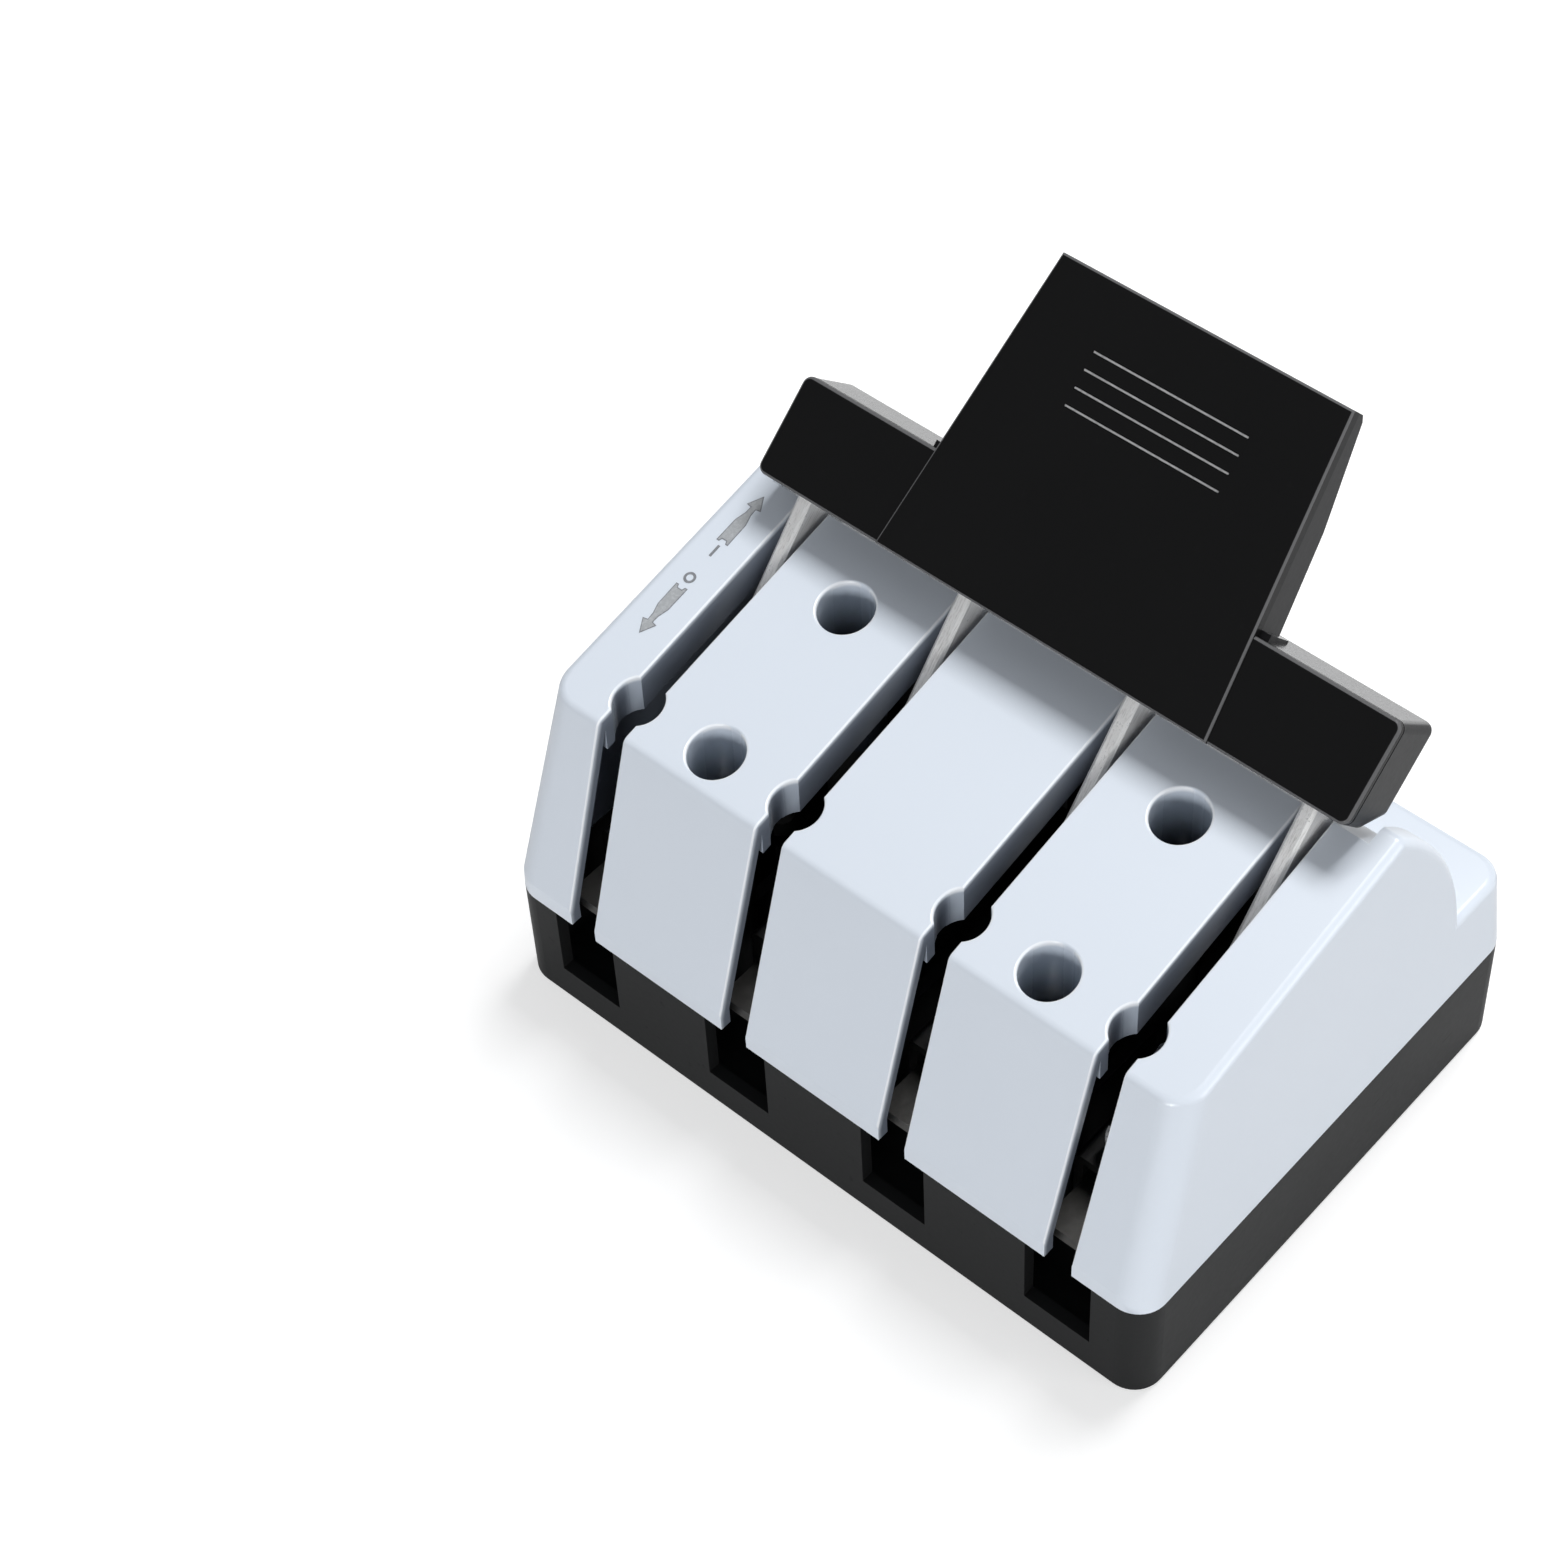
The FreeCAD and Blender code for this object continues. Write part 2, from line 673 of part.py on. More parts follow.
def make_hinge_contact(number, place):
    """The load-side contact: two round ears that carry the blade's pivot."""
    body = contact_body(f"hinge_contact_{number}", place, "hinge_front", "hinge_back",
                        "pivot_z + ear_radius", ("front + base_wall + end_gap", "hinge_front"))
    round_edges(body, "ear_radius - 0.5", lambda edge, middle, bounds: (
        run_of(edge, 0) > 0.99 and middle.z > bounds.ZMax - 0.01))
    x = pole_x(place)
    pocket(body, "YZ_Plane", f"{x} - tongue_width", f"{x} + tongue_width",
           lambda s: draw_circle(s, "pivot_y", "pivot_z", "pivot_radius + pin_gap"))
    pocket(body, "XY_Plane", "plinth_top", "tongue_top",
           lambda s: draw_circle(s, x, "pivot_y", "fix_screw + thread_gap"))
    return body


def make_jaw_contact(number, place):
    """The line-side contact: two leaves that grip the closed blade, flared to let it in."""
    body = contact_body(f"jaw_contact_{number}", place, "jaw_front", "jaw_back",
                        "jaw_top", ("jaw_back", "back - base_wall - end_gap"))
    x = pole_x(place)

    def flares(sketch):
        for sign in ("-", "+"):
            draw_outline(sketch, [
                (f"{x} {sign} ear_inner", "jaw_top"), (f"{x} {sign} ear_outer", "jaw_top"),
                (f"{x} {sign} (ear_outer + flare_out)", "jaw_top + flare_rise"),
                (f"{x} {sign} (ear_inner + flare_out)", "jaw_top + flare_rise")])

    pad(body, "XZ_Plane", "jaw_front", "jaw_back", flares)
    pocket(body, "XY_Plane", "plinth_top", "tongue_top",
           lambda s: draw_circle(s, x, "jaw_y", "fix_screw + thread_gap"))
    return body


def make_jaw_clip(number, place):
    """A spring-steel strip that passes under the jaw and presses its leaves together."""
    body = new_body(f"jaw_clip_{number}")
    x = pole_x(place)

    def channel(sketch):
        draw_outline(sketch, [
            (f"{x} - clip_outer", "plinth_top - clip_thick"), (f"{x} + clip_outer", "plinth_top - clip_thick"),
            (f"{x} + clip_outer", "clip_top"), (f"{x} + ear_outer", "clip_top"),
            (f"{x} + ear_outer", "plinth_top"), (f"{x} - ear_outer", "plinth_top"),
            (f"{x} - ear_outer", "clip_top"), (f"{x} - clip_outer", "clip_top")])

    pad(body, "XZ_Plane", "jaw_y - clip_width / 2", "jaw_y + clip_width / 2", channel)
    pocket(body, "XY_Plane", "plinth_top - clip_thick", "plinth_top",
           lambda s: draw_circle(s, x, "jaw_y", "fix_screw + screw_gap"))
    return body


def make_clamp(name, place, along):
    """A steel box clamp round the tongue, threaded on top for its screw."""
    body = new_body(name)
    x = pole_x(place)

    def frame(sketch):
        draw_rectangle(sketch, f"{x} - clamp_outer", f"{x} + clamp_outer", "clamp_bottom", "clamp_top")
        draw_rectangle(sketch, f"{x} - clamp_inner", f"{x} + clamp_inner",
                       "clamp_bottom + clamp_wall", "clamp_top - clamp_wall")

    def outer_edge(edge, middle, bounds):
        return run_of(edge, 1) > 0.99 and (middle.z < bounds.ZMin + 0.01 or middle.z > bounds.ZMax - 0.01)

    pad(body, "XZ_Plane", f"{along} - clamp_depth / 2", f"{along} + clamp_depth / 2", frame)
    round_edges(body, "clamp_wall * 0.7", outer_edge)
    pocket(body, "XY_Plane", "clamp_top - clamp_wall", "clamp_top",
           lambda s: draw_circle(s, x, along, "clamp_screw + thread_gap"))
    return body


def make_clamp_screws(name, along):
    """One screw in each clamp, with a round head and a cross slot."""
    solids = []
    for place in POLES:
        x = pole_x(place)
        shank = rod("shank", "clamp_screw", (x, along, "tongue_top"), "clamp_head_low - tongue_top")
        head = rod("head", "clamp_head", (x, along, "clamp_head_low"), "clamp_head_rise")
        low = "clamp_head_top - cross_depth"
        high = "clamp_head_top + 1"
        one = box("slot", (f"{x} - clamp_head", f"{along} - cross_width / 2", low),
                  (f"{x} + clamp_head", f"{along} + cross_width / 2", high))
        other = box("slot", (f"{x} - cross_width / 2", f"{along} - clamp_head", low),
                    (f"{x} + cross_width / 2", f"{along} + clamp_head", high))
        solids.append(cut("screw", fuse("blank", [shank, head]), fuse("cross", [one, other])))
    return fuse(name, solids)


def make_pivot_set():
    """Bolts, spring washers and nuts that hold the blades in their hinges."""
    bolts = []
    washers = []
    nuts = []
    for place in POLES:
        x = pole_x(place)
        outside = f"{x} + ear_outer"
        head = hexagon("bolt_head", "nut_radius", (f"{x} - ear_outer - bolt_head_rise", "pivot_y", "pivot_z"),
                       "bolt_head_rise", "x")
        shank = rod("bolt_shank", "pivot_radius", (f"{x} - ear_outer", "pivot_y", "pivot_z"),
                    "2 * ear_outer + washer_thick + nut_thick + bolt_tail", "x")
        bolts.append(fuse("bolt", [head, shank]))
        ring = rod("washer_disc", "nut_radius", (outside, "pivot_y", "pivot_z"), "washer_thick", "x")
        bore = rod("washer_bore", "pivot_radius + screw_gap", (outside, "pivot_y", "pivot_z"), "washer_thick", "x")
        washers.append(cut("washer", ring, bore))
        seat = (f"{outside} + washer_thick", "pivot_y", "pivot_z")
        nut = hexagon("nut_blank", "nut_radius", seat, "nut_thick", "x")
        thread = rod("nut_bore", "pivot_radius + thread_gap", seat, "nut_thick", "x")
        nuts.append(cut("nut", nut, thread))
    return [fuse("pivot_bolts", bolts), fuse("pivot_washers", washers), fuse("pivot_nuts", nuts)]


def make_screws(name, spots, seat, shank_radius, head_radius, head_rise, length, upward):
    """A group of round-headed screws on one seat, with their heads below it or above it."""
    solids = []
    for across, along in spots:
        if upward:
            head_low = f"({seat}) - ({head_rise})"
            shank_low = seat
        else:
            head_low = seat
            shank_low = f"({seat}) - ({length})"
        head = rod("head", head_radius, (across, along, head_low), head_rise)
        shank = rod("shank", shank_radius, (across, along, shank_low), length)
        solids.append(fuse("screw", [head, shank]))
    return fuse(name, solids)


def make_blade(number, place):
    """A copper blade: round at its hinge, straight to the bar, with a narrow tang inside it."""
    body = new_body(f"blade_{number}")
    low = f"{pole_x(place)} - blade_thick / 2"
    high = f"{pole_x(place)} + blade_thick / 2"
    half = "(blade_width / 2)"

    pad(body, "YZ_Plane", low, high, lambda s: draw_outline(s, [
        blade_point("0", "-" + half),
        ("heel_reach", f"heel_reach * tan(blade_tilt) - {half} / cos(blade_tilt)"),
        ("heel_reach", "bar_back"),
        ("bar_reach", "bar_front - bar_flat"),
        ("bar_reach", f"bar_reach * tan(blade_tilt) + {half} / cos(blade_tilt)"),
        blade_point("0", half)]))
    pad(body, "YZ_Plane", low, high, lambda s: draw_circle(s, "0", "0", half))

    def long_edge(edge, middle, bounds):
        return run_of(edge, 0) < 0.01 and edge.Length > (bounds.YMax - bounds.YMin) / 2

    bevel_edges(body, "blade_edge", long_edge)
    pad(body, "YZ_Plane", low, high, lambda s: draw_outline(s, [
        blade_point("tang_foot - tang_length / 2", "tang_low"), blade_point("tang_end", "tang_low"),
        blade_point("tang_end", "tang_low + tang_width"),
        blade_point("tang_foot - tang_length / 2", "tang_low + tang_width")]))
    pocket(body, "YZ_Plane", low, high, lambda s: draw_circle(s, "0", "0", "pivot_radius + pin_gap"))
    pocket(body, "YZ_Plane", low, high, lambda s: draw_circle(s, *ROD_PLACE, "rod_radius + rod_gap"))
    return swing(body)


def add_bar(body):
    """The back shell's bar, with its flat and its heel, rounded at the ends and the back."""
    pad(body, "YZ_Plane", "-bar_length / 2", "bar_length / 2", lambda s: draw_outline(s, [
        ("bar_reach", "seam"), ("bar_reach", "bar_front - bar_flat"), ("heel_reach", "bar_back"),
        ("bar_top + bar_crown", "bar_back"), ("bar_top", "seam")]))

    def outer_edge(edge, middle, bounds):
        at_end = abs(middle.x) > bounds.XMax - 0.1 and middle.z < bounds.ZMax - 0.01
        return at_end or (run_of(edge, 0) > 0.99 and middle.z < bounds.ZMin + 0.01)

    round_edges(body, "bar_round", outer_edge)


def add_grip(body):
    """The back shell's grip: a wedge that thins to its tip, trimmed to the front plate's sides."""
    pad(body, "YZ_Plane", "-grip_foot / 2", "grip_foot / 2", lambda s: draw_outline(s, [
        ("bar_top - shell_wall", "seam"), ("bar_top - shell_wall", "grip_foot_rise"),
        ("bar_top + bar_crown", "grip_foot_rise"), ("knee_reach", "grip_knee_rise"),
        ("grip_end - grip_tip_bevel", "grip_tip_rise"), ("grip_end", "grip_tip_rise + grip_tip_bevel"),
        ("grip_end", "seam")]))
    start = "bar_top + bar_crown"
    past = "grip_end + 1"

    def sides(sketch):
        for sign in ("-", ""):
            draw_outline(sketch, [
                (f"{sign}{grip_half(start)}", start), (f"{sign}{grip_half(past)}", past),
                (f"{sign}(grip_foot / 2 + 1)", past), (f"{sign}(grip_foot / 2 + 1)", start)])

    pocket(body, "XY_Plane", "0", "seam", sides)


def hollow_handle(body):
    """Takes out the bar's chambers between the tang blocks, and the grip's."""
    def chambers(sketch):
        block = "(blade_thick / 2 + shell_wall)"
        stops = ["-bar_length / 2 + shell_wall"]
        for place in POLES:
            stops += [f"{pole_x(place)} - {block}", f"{pole_x(place)} + {block}"]
        stops.append("bar_length / 2 - shell_wall")
        for near, far in zip(stops[0::2], stops[1::2]):
            draw_rectangle(sketch, near, far, "heel_reach + shell_wall", "bar_top - shell_wall")

    pocket(body, "XY_Plane", "bar_back + shell_wall", "seam", chambers)
    room_end = "(knee_reach + grip_room)"
    inside = f"({grip_half(room_end)} - shell_wall)"
    pocket(body, "YZ_Plane", "-" + inside, inside, lambda s: draw_outline(s, [
        ("bar_top + shell_wall / 2", "seam"), ("bar_top + shell_wall / 2", "grip_foot_rise + shell_wall"),
        ("knee_reach", "grip_knee_rise + shell_wall"), (room_end, "seam")]))


def make_handle_back():
    """The back shell: hollow bar with blocks for the tangs, grip wedge, bosses and bores."""
    body = new_body("handle_back")
    add_bar(body)
    add_grip(body)
    hollow_handle(body)
    boss = "handle_screw + shell_wall"
    pad(body, "XY_Plane", "bar_back + shell_wall / 2", "seam", lambda s: draw_circles(s, BAR_SCREWS, boss))
    pad(body, "XY_Plane", "grip_foot_rise + shell_wall", "seam", lambda s: draw_circles(s, GRIP_SCREWS, boss))
    bore = "handle_screw + screw_gap"
    sink = "handle_screw_head + screw_gap"
    pocket(body, "XY_Plane", "0", "seam", lambda s: draw_circles(s, BAR_SCREWS + GRIP_SCREWS, bore))
    pocket(body, "XY_Plane", "0", "bar_screw_seat", lambda s: draw_circles(s, BAR_SCREWS, sink))
    pocket(body, "XY_Plane", "0", "grip_screw_seat", lambda s: draw_circles(s, GRIP_SCREWS, sink))
    for place in POLES:
        pocket(body, "YZ_Plane", f"{pole_x(place)} - ear_inner", f"{pole_x(place)} + ear_inner",
               lambda s: draw_outline(s, [
                   blade_point("tang_foot - tang_length / 2", "tang_low - side_gap"),
                   blade_point("tang_end + side_gap", "tang_low - side_gap"),
                   ("tang_end + side_gap", "seam"), ("bar_reach - tang_length / 4", "seam")]))
    pocket(body, "YZ_Plane", "-rod_length / 2 - rod_gap", "rod_length / 2 + rod_gap",
           lambda s: draw_circle(s, *ROD_PLACE, "rod_radius + rod_gap"))
    return swing(body)


def make_handle_front():
    """The front shell: the bar's plate and the grip's plate, proud of it, with four fine lines."""
    body = new_body("handle_front")
    pad(body, "XY_Plane", "seam", "bar_front", lambda s: draw_rectangle(
        s, "-bar_length / 2", "bar_length / 2", "bar_reach", "bar_top"))
    round_edges(body, "bar_round", lambda edge, middle, bounds: run_of(edge, 2) > 0.99)
    round_edges(body, "plate_round", lambda edge, middle, bounds: middle.z > bounds.ZMax - 0.01)
    bevel_edges(body, "seam_bevel", lambda edge, middle, bounds: middle.z < bounds.ZMin + 0.01)
    pad(body, "XY_Plane", "seam", "grip_front", lambda s: draw_outline(s, [
        ("-grip_foot / 2", "bar_reach"), ("grip_foot / 2", "bar_reach"),
        ("grip_tip / 2", "grip_end"), ("-grip_tip / 2", "grip_end")]))
    round_edges(body, "grip_round", lambda edge, middle, bounds: middle.z > bounds.ZMax - 0.01)

    def lines(sketch):
        for number in range(4):
            middle = f"(bar_reach + line_low + {number} * line_pitch)"
            draw_rectangle(sketch, "-line_length / 2", "line_length / 2",
                           f"{middle} - line_width / 2", f"{middle} + line_width / 2")

    pocket(body, "XY_Plane", "grip_front - line_depth", "grip_front", lines)
    pocket(body, "XY_Plane", "seam", "bar_front - plate_skin",
           lambda s: draw_circles(s, BAR_SCREWS + GRIP_SCREWS, "handle_screw + thread_gap"))
    return swing(body)


def make_handle_screws():
    """Screws from the back that hold the two shells together."""
    groups = []
    for name, spots, seat in (("bar_screws", BAR_SCREWS, "bar_screw_seat"),
                              ("grip_screws", GRIP_SCREWS, "grip_screw_seat")):
        groups.append(make_screws(name, spots, seat, "handle_screw", "handle_screw_head",
                                  "handle_screw_head_rise", f"bar_front - plate_skin - {seat}", True))
    return swing(fuse("handle_screws", groups))


def make_tie_rod():
    """The steel rod through the four tangs."""
    body = new_body("tie_rod")
    pad(body, "YZ_Plane", "-rod_length / 2", "rod_length / 2",
        lambda s: draw_circle(s, *ROD_PLACE, "rod_radius"))
    return swing(body)


def main():
    """Builds every piece, checks it and writes one file for each."""
    pieces = [make_base(), make_cover()]
    for number, place in enumerate(POLES, start=1):
        pieces.append(make_hinge_contact(number, place))
        pieces.append(make_jaw_contact(number, place))
        pieces.append(make_jaw_clip(number, place))
        pieces.append(make_clamp(f"load_clamp_{number}", place, "load_y"))
        pieces.append(make_clamp(f"line_clamp_{number}", place, "line_y"))
        pieces.append(make_blade(number, place))
    pieces.append(make_clamp_screws("load_screws", "load_y"))
    pieces.append(make_clamp_screws("line_screws", "line_y"))
    pieces.extend(make_pivot_set())
    contact_spots = [(pole_x(place), along) for place in POLES for along in ("pivot_y", "jaw_y")]
    pieces.append(make_screws("contact_screws", contact_spots, "plinth_core_top", "fix_screw", "fix_head",
                              "fix_head_rise", "plinth_roof + strip_thick", True))
    pieces.append(make_screws("cover_screws", well_spots(), "well_floor", "cover_screw", "cover_screw_head",
                              "cover_screw_head_rise", "cover_screw_length", False))
    pieces += [make_handle_back(), make_handle_front(), make_handle_screws(), make_tie_rod()]
    doc.recompute()
    failed = [item.Name for item in doc.Objects if "Invalid" in item.State or "Error" in item.State]
    if failed:
        raise RuntimeError("these objects failed: " + ", ".join(failed))
    for piece in pieces:
        if piece.Shape.isNull() or not piece.Shape.isValid():
            raise RuntimeError(piece.Label + " has no valid shape")
    os.makedirs("parts", exist_ok=True)
    for piece in pieces:
        piece.Shape.exportStep(f"parts/{piece.Label}.step")
        print(piece.Label, len(piece.Shape.Solids), round(piece.Shape.Volume, 1), piece.Shape.BoundBox)


main()
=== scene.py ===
"""Dresses the four-pole knife disconnect switch: mouldings, contacts, marks, light and camera.

The CAD nodes get their materials here. The script adds three kinds of piece of its own: the
walls of the cover's keyholes, the printed direction marks, and the light lines in the grip.
Sizes in the classes are in millimetres unless a comment or docstring says otherwise.
"""

import logging
import math
from dataclasses import dataclass, field
from enum import Enum
import bpy
from mathutils import Matrix, Vector
from mathutils.bvhtree import BVHTree


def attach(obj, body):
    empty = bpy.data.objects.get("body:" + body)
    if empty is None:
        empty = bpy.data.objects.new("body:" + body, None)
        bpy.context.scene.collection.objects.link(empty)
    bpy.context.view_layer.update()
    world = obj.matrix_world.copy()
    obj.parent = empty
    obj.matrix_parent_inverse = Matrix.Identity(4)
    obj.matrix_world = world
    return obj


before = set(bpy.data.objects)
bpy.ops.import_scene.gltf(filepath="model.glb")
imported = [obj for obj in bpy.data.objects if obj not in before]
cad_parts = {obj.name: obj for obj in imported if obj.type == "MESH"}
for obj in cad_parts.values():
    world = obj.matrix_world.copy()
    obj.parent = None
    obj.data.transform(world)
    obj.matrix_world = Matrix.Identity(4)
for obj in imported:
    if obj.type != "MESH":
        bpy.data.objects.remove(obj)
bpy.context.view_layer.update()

LOG = logging.getLogger("knife_switch")
MM = 0.001
Colour = tuple[float, float, float]
Triple = tuple[float, float, float]
Point = tuple[float, float]
Step = tuple[float, float]  # the value at a mask's middle, and how far from it the mask ends
Limits = tuple[float, float]
X_AXIS: Triple = (1.0, 0.0, 0.0)
WHITE = (1.0, 1.0, 1.0, 1.0)
NOISE_MEAN = 0.5
PIVOT: Point = (-19.0, 43.0)  # the blades' pivot, in Y and Z, in millimetres
REST_TURN = math.radians(41.3)  # how far the handle is swung open in the photograph
PLATE_AXIS: Triple = (0.0, -math.sin(REST_TURN), math.cos(REST_TURN))
PLATE_UP: Triple = (0.0, math.cos(REST_TURN), math.sin(REST_TURN))


class Body(Enum):
    """The two bodies that a piece can ride on."""

    HOUSING = "housing"
    HANDLE = "handle"


class Grain(Enum):
    """The way a metal's brush marks run, as a stretch of its noise along X, Y and Z."""

    ALONG_BLADE = (2.4, 0.10, 2.4)
    ALONG_Y = (6.0, 0.35, 6.0)
    NONE = (1.0, 1.0, 1.0)


# Materials --------------------------------------------------------------------------------


class Wire:
    """A value on its way through a material's nodes, written with Python's own operators."""

    def __init__(self, bench: "Bench", socket: bpy.types.NodeSocket) -> None:
        """Keeps the socket and the bench that it belongs to."""
        self.bench = bench
        self.socket = socket

    def _math(self, operation: str, *values: "Wire | float") -> "Wire":
        """Adds one Math node.

        Args:
            operation: the node's operation.
            values: its inputs, in order.

        Returns:
            The node's result.
        """
        return self.bench.node("ShaderNodeMath", {"operation": operation}, dict(enumerate(values)))

    def __add__(self, other: "Wire | float") -> "Wire":
        """self + other."""
        return self._math("ADD", self, other)

    def __radd__(self, other: "Wire | float") -> "Wire":
        """other + self."""
        return self._math("ADD", other, self)

    def __sub__(self, other: "Wire | float") -> "Wire":
        """self - other."""
        return self._math("SUBTRACT", self, other)

    def __rsub__(self, other: "Wire | float") -> "Wire":
        """other - self."""
        return self._math("SUBTRACT", other, self)

    def __mul__(self, other: "Wire | float") -> "Wire":
        """self * other."""
        return self._math("MULTIPLY", self, other)

    def __rmul__(self, other: "Wire | float") -> "Wire":
        """other * self."""
        return self._math("MULTIPLY", other, self)

    def __abs__(self) -> "Wire":
        """The value without its sign."""
        return self._math("ABSOLUTE", self)

    def least(self, other: "Wire | float") -> "Wire":
        """The smaller of two values."""
        return self._math("MINIMUM", self, other)

    def most(self, other: "Wire | float") -> "Wire":
        """The larger of two values."""
        return self._math("MAXIMUM", self, other)

    def root(self) -> "Wire":
        """The value's square root."""
        return self._math("SQRT", self)

    def held(self, low: float, high: float) -> "Wire":
        """Holds the value between two limits."""
        return self.most(low).least(high)

    def step(self, edge: float, soft: float) -> "Wire":
        """Turns the value into a mask.

        Args:
            edge: the value at the mask's middle.
            soft: how far from it the mask takes to reach 0 or 1.

        Returns:
            The mask, from 0 to 1.
        """
        settings = {"interpolation_type": "SMOOTHSTEP"}
        inputs = {"Value": self, "From Min": edge - soft, "From Max": edge + soft, "To Min": 0.0, "To Max": 1.0}
        return self.bench.node("ShaderNodeMapRange", settings, inputs)


class Bench:
    """The node tree of a material or the world, and the only place where its nodes are made."""

    IOR = 1.5
    MIX_LOW, MIX_HIGH, MIX_COLOUR = 6, 7, 2  # the Mix node's two colour inputs and its colour output

    def __init__(self, owner: "bpy.types.Material | bpy.types.World") -> None:
        """Starts with an empty tree.

        Args:
            owner: the material or world whose tree it is.
        """
        self.owner = owner
        self.owner.use_nodes = True
        self.tree = self.owner.node_tree
        self.tree.nodes.clear()

    def node(self, kind: str, settings: dict, inputs: dict, output: int | str = 0) -> Wire:
        """Makes a node.

        Args:
            kind: the node's type.
            settings: its properties, set first.
            inputs: a value or a Wire for each input socket, by name or number.
            output: which output to hand back.

        Returns:
            That output.
        """
        made = self.tree.nodes.new(kind)
        for name, value in settings.items():
            setattr(made, name, value)
        for key, value in inputs.items():
            if isinstance(value, Wire):
                self.tree.links.new(value.socket, made.inputs[key])
            else:
                made.inputs[key].default_value = value
        return Wire(self, made.outputs[output])

    def place(self, stretch: Triple = (1.0, 1.0, 1.0), turn: float = 0.0) -> Wire:
        """Gives the point on the object in metres, turned about X and then stretched.

        Args:
            stretch: how much finer the pattern gets along X, Y and Z.
            turn: the turn about X, in radians.

        Returns:
            The point.
        """
        spot = self.node("ShaderNodeTexCoord", {}, {}, "Object")
        if turn:
            turned = {"Vector": spot, "Angle": turn}
            spot = self.node("ShaderNodeVectorRotate", {"rotation_type": "X_AXIS"}, turned)
        return self.node("ShaderNodeVectorMath", {"operation": "MULTIPLY"}, {0: spot, 1: stretch})

    def noise(self, where: Wire, scale: float, detail: float = 3.0, rough: float = 0.55) -> Wire:
        """Gives a soft random value about 0.5.

        Args:
            where: the point.
            scale: the waves to a metre.
            detail: how many finer layers it has.
            rough: how strong they are.

        Returns:
            The value.
        """
        inputs = {"Vector": where, "Scale": scale, "Detail": detail, "Roughness": rough}
        return self.node("ShaderNodeTexNoise", {"noise_dimensions": "3D"}, inputs, "Fac")

    def specks(self, where: Wire, scale: float, size: float, soft: float = 0.4) -> Wire:
        """Gives a mask of scattered small specks.

        Args:
            where: the point.
            scale: the specks to a metre.
            size: a speck's radius, as a share of their pitch.
            soft: the share of the radius over which a speck fades.

        Returns:
            The mask.
        """
        cells = self.node("ShaderNodeTexVoronoi", {"feature": "F1"}, {"Vector": where, "Scale": scale}, "Distance")
        return 1 - cells.step(size, size * soft)

    def axes(self) -> tuple[Wire, Wire, Wire]:
        """Gives the point on the object in millimetres, along X, Y and Z."""
        spot = self.place((1 / MM, 1 / MM, 1 / MM))
        return tuple(self.node("ShaderNodeSeparateXYZ", {}, {0: spot}, name) for name in "XYZ")

    def facing(self, axis: Triple) -> Wire:
        """Gives how squarely the surface faces along an axis, from -1 to 1."""
        normal = self.node("ShaderNodeTexCoord", {}, {}, "Normal")
        return self.node("ShaderNodeVectorMath", {"operation": "DOT_PRODUCT"}, {0: normal, 1: axis}, "Value")

    def tint(self, mask: Wire, low: "Wire | Colour", high: "Wire | Colour") -> Wire:
        """Mixes two colours by a mask.

        Args:
            mask: the share of the second colour.
            low: the first colour.
            high: the second colour.

        Returns:
            The mixed colour.
        """
        ends = [end if isinstance(end, Wire) else (*end, 1.0) for end in (low, high)]
        inputs = {0: mask, self.MIX_LOW: ends[0], self.MIX_HIGH: ends[1]}
        return self.node("ShaderNodeMix", {"data_type": "RGBA"}, inputs, self.MIX_COLOUR)

    def bump(self, height: Wire, depth: float, strength: float, under: Wire | None = None) -> Wire:
        """Turns a height into a normal.

        Args:
            height: the height, from 0 to 1.
            depth: how deep the relief is, in metres.
            strength: how much of it shows.
            under: a normal that it lies on, if there is one.

        Returns:
            The normal.
        """
        inputs: dict = {"Height": height, "Distance": depth, "Strength": strength}
        if under is not None:
            inputs["Normal"] = under
        return self.node("ShaderNodeBump", {}, inputs)

    def finish(self, **sockets: "Wire | float | tuple") -> bpy.types.Material:
        """Ends the tree in a Principled shader.

        Args:
            sockets: its inputs, with _ for each space in a name.

        Returns:
            The material.
        """
        named = {name.replace("_", " "): value for name, value in sockets.items()}
        named.setdefault("IOR", self.IOR)
        return self.end("ShaderNodeOutputMaterial", self.node("ShaderNodeBsdfPrincipled", {}, named))

    def end(self, kind: str, shader: Wire) -> "bpy.types.Material | bpy.types.World":
        """Links a shader to the tree's output.

        Args:
            kind: the output's type.
            shader: what it shows.

        Returns:
            The material or world.
        """
        output = self.tree.nodes.new(kind)
        self.tree.links.new(shader.socket, output.inputs["Surface"])
        return self.owner


@dataclass(frozen=True)
class Plane:
    """A flat of a moulding's outer skin, in millimetres, alike on both sides of the middle."""

    normal: Triple
    distance: float

    def depth(self, axes: tuple[Wire, Wire, Wire]) -> Wire:
        """Gives how far a point lies under the plane."""
        x, y, z = axes
        return self.distance - (abs(x) * self.normal[0] + y * self.normal[1] + z * self.normal[2])


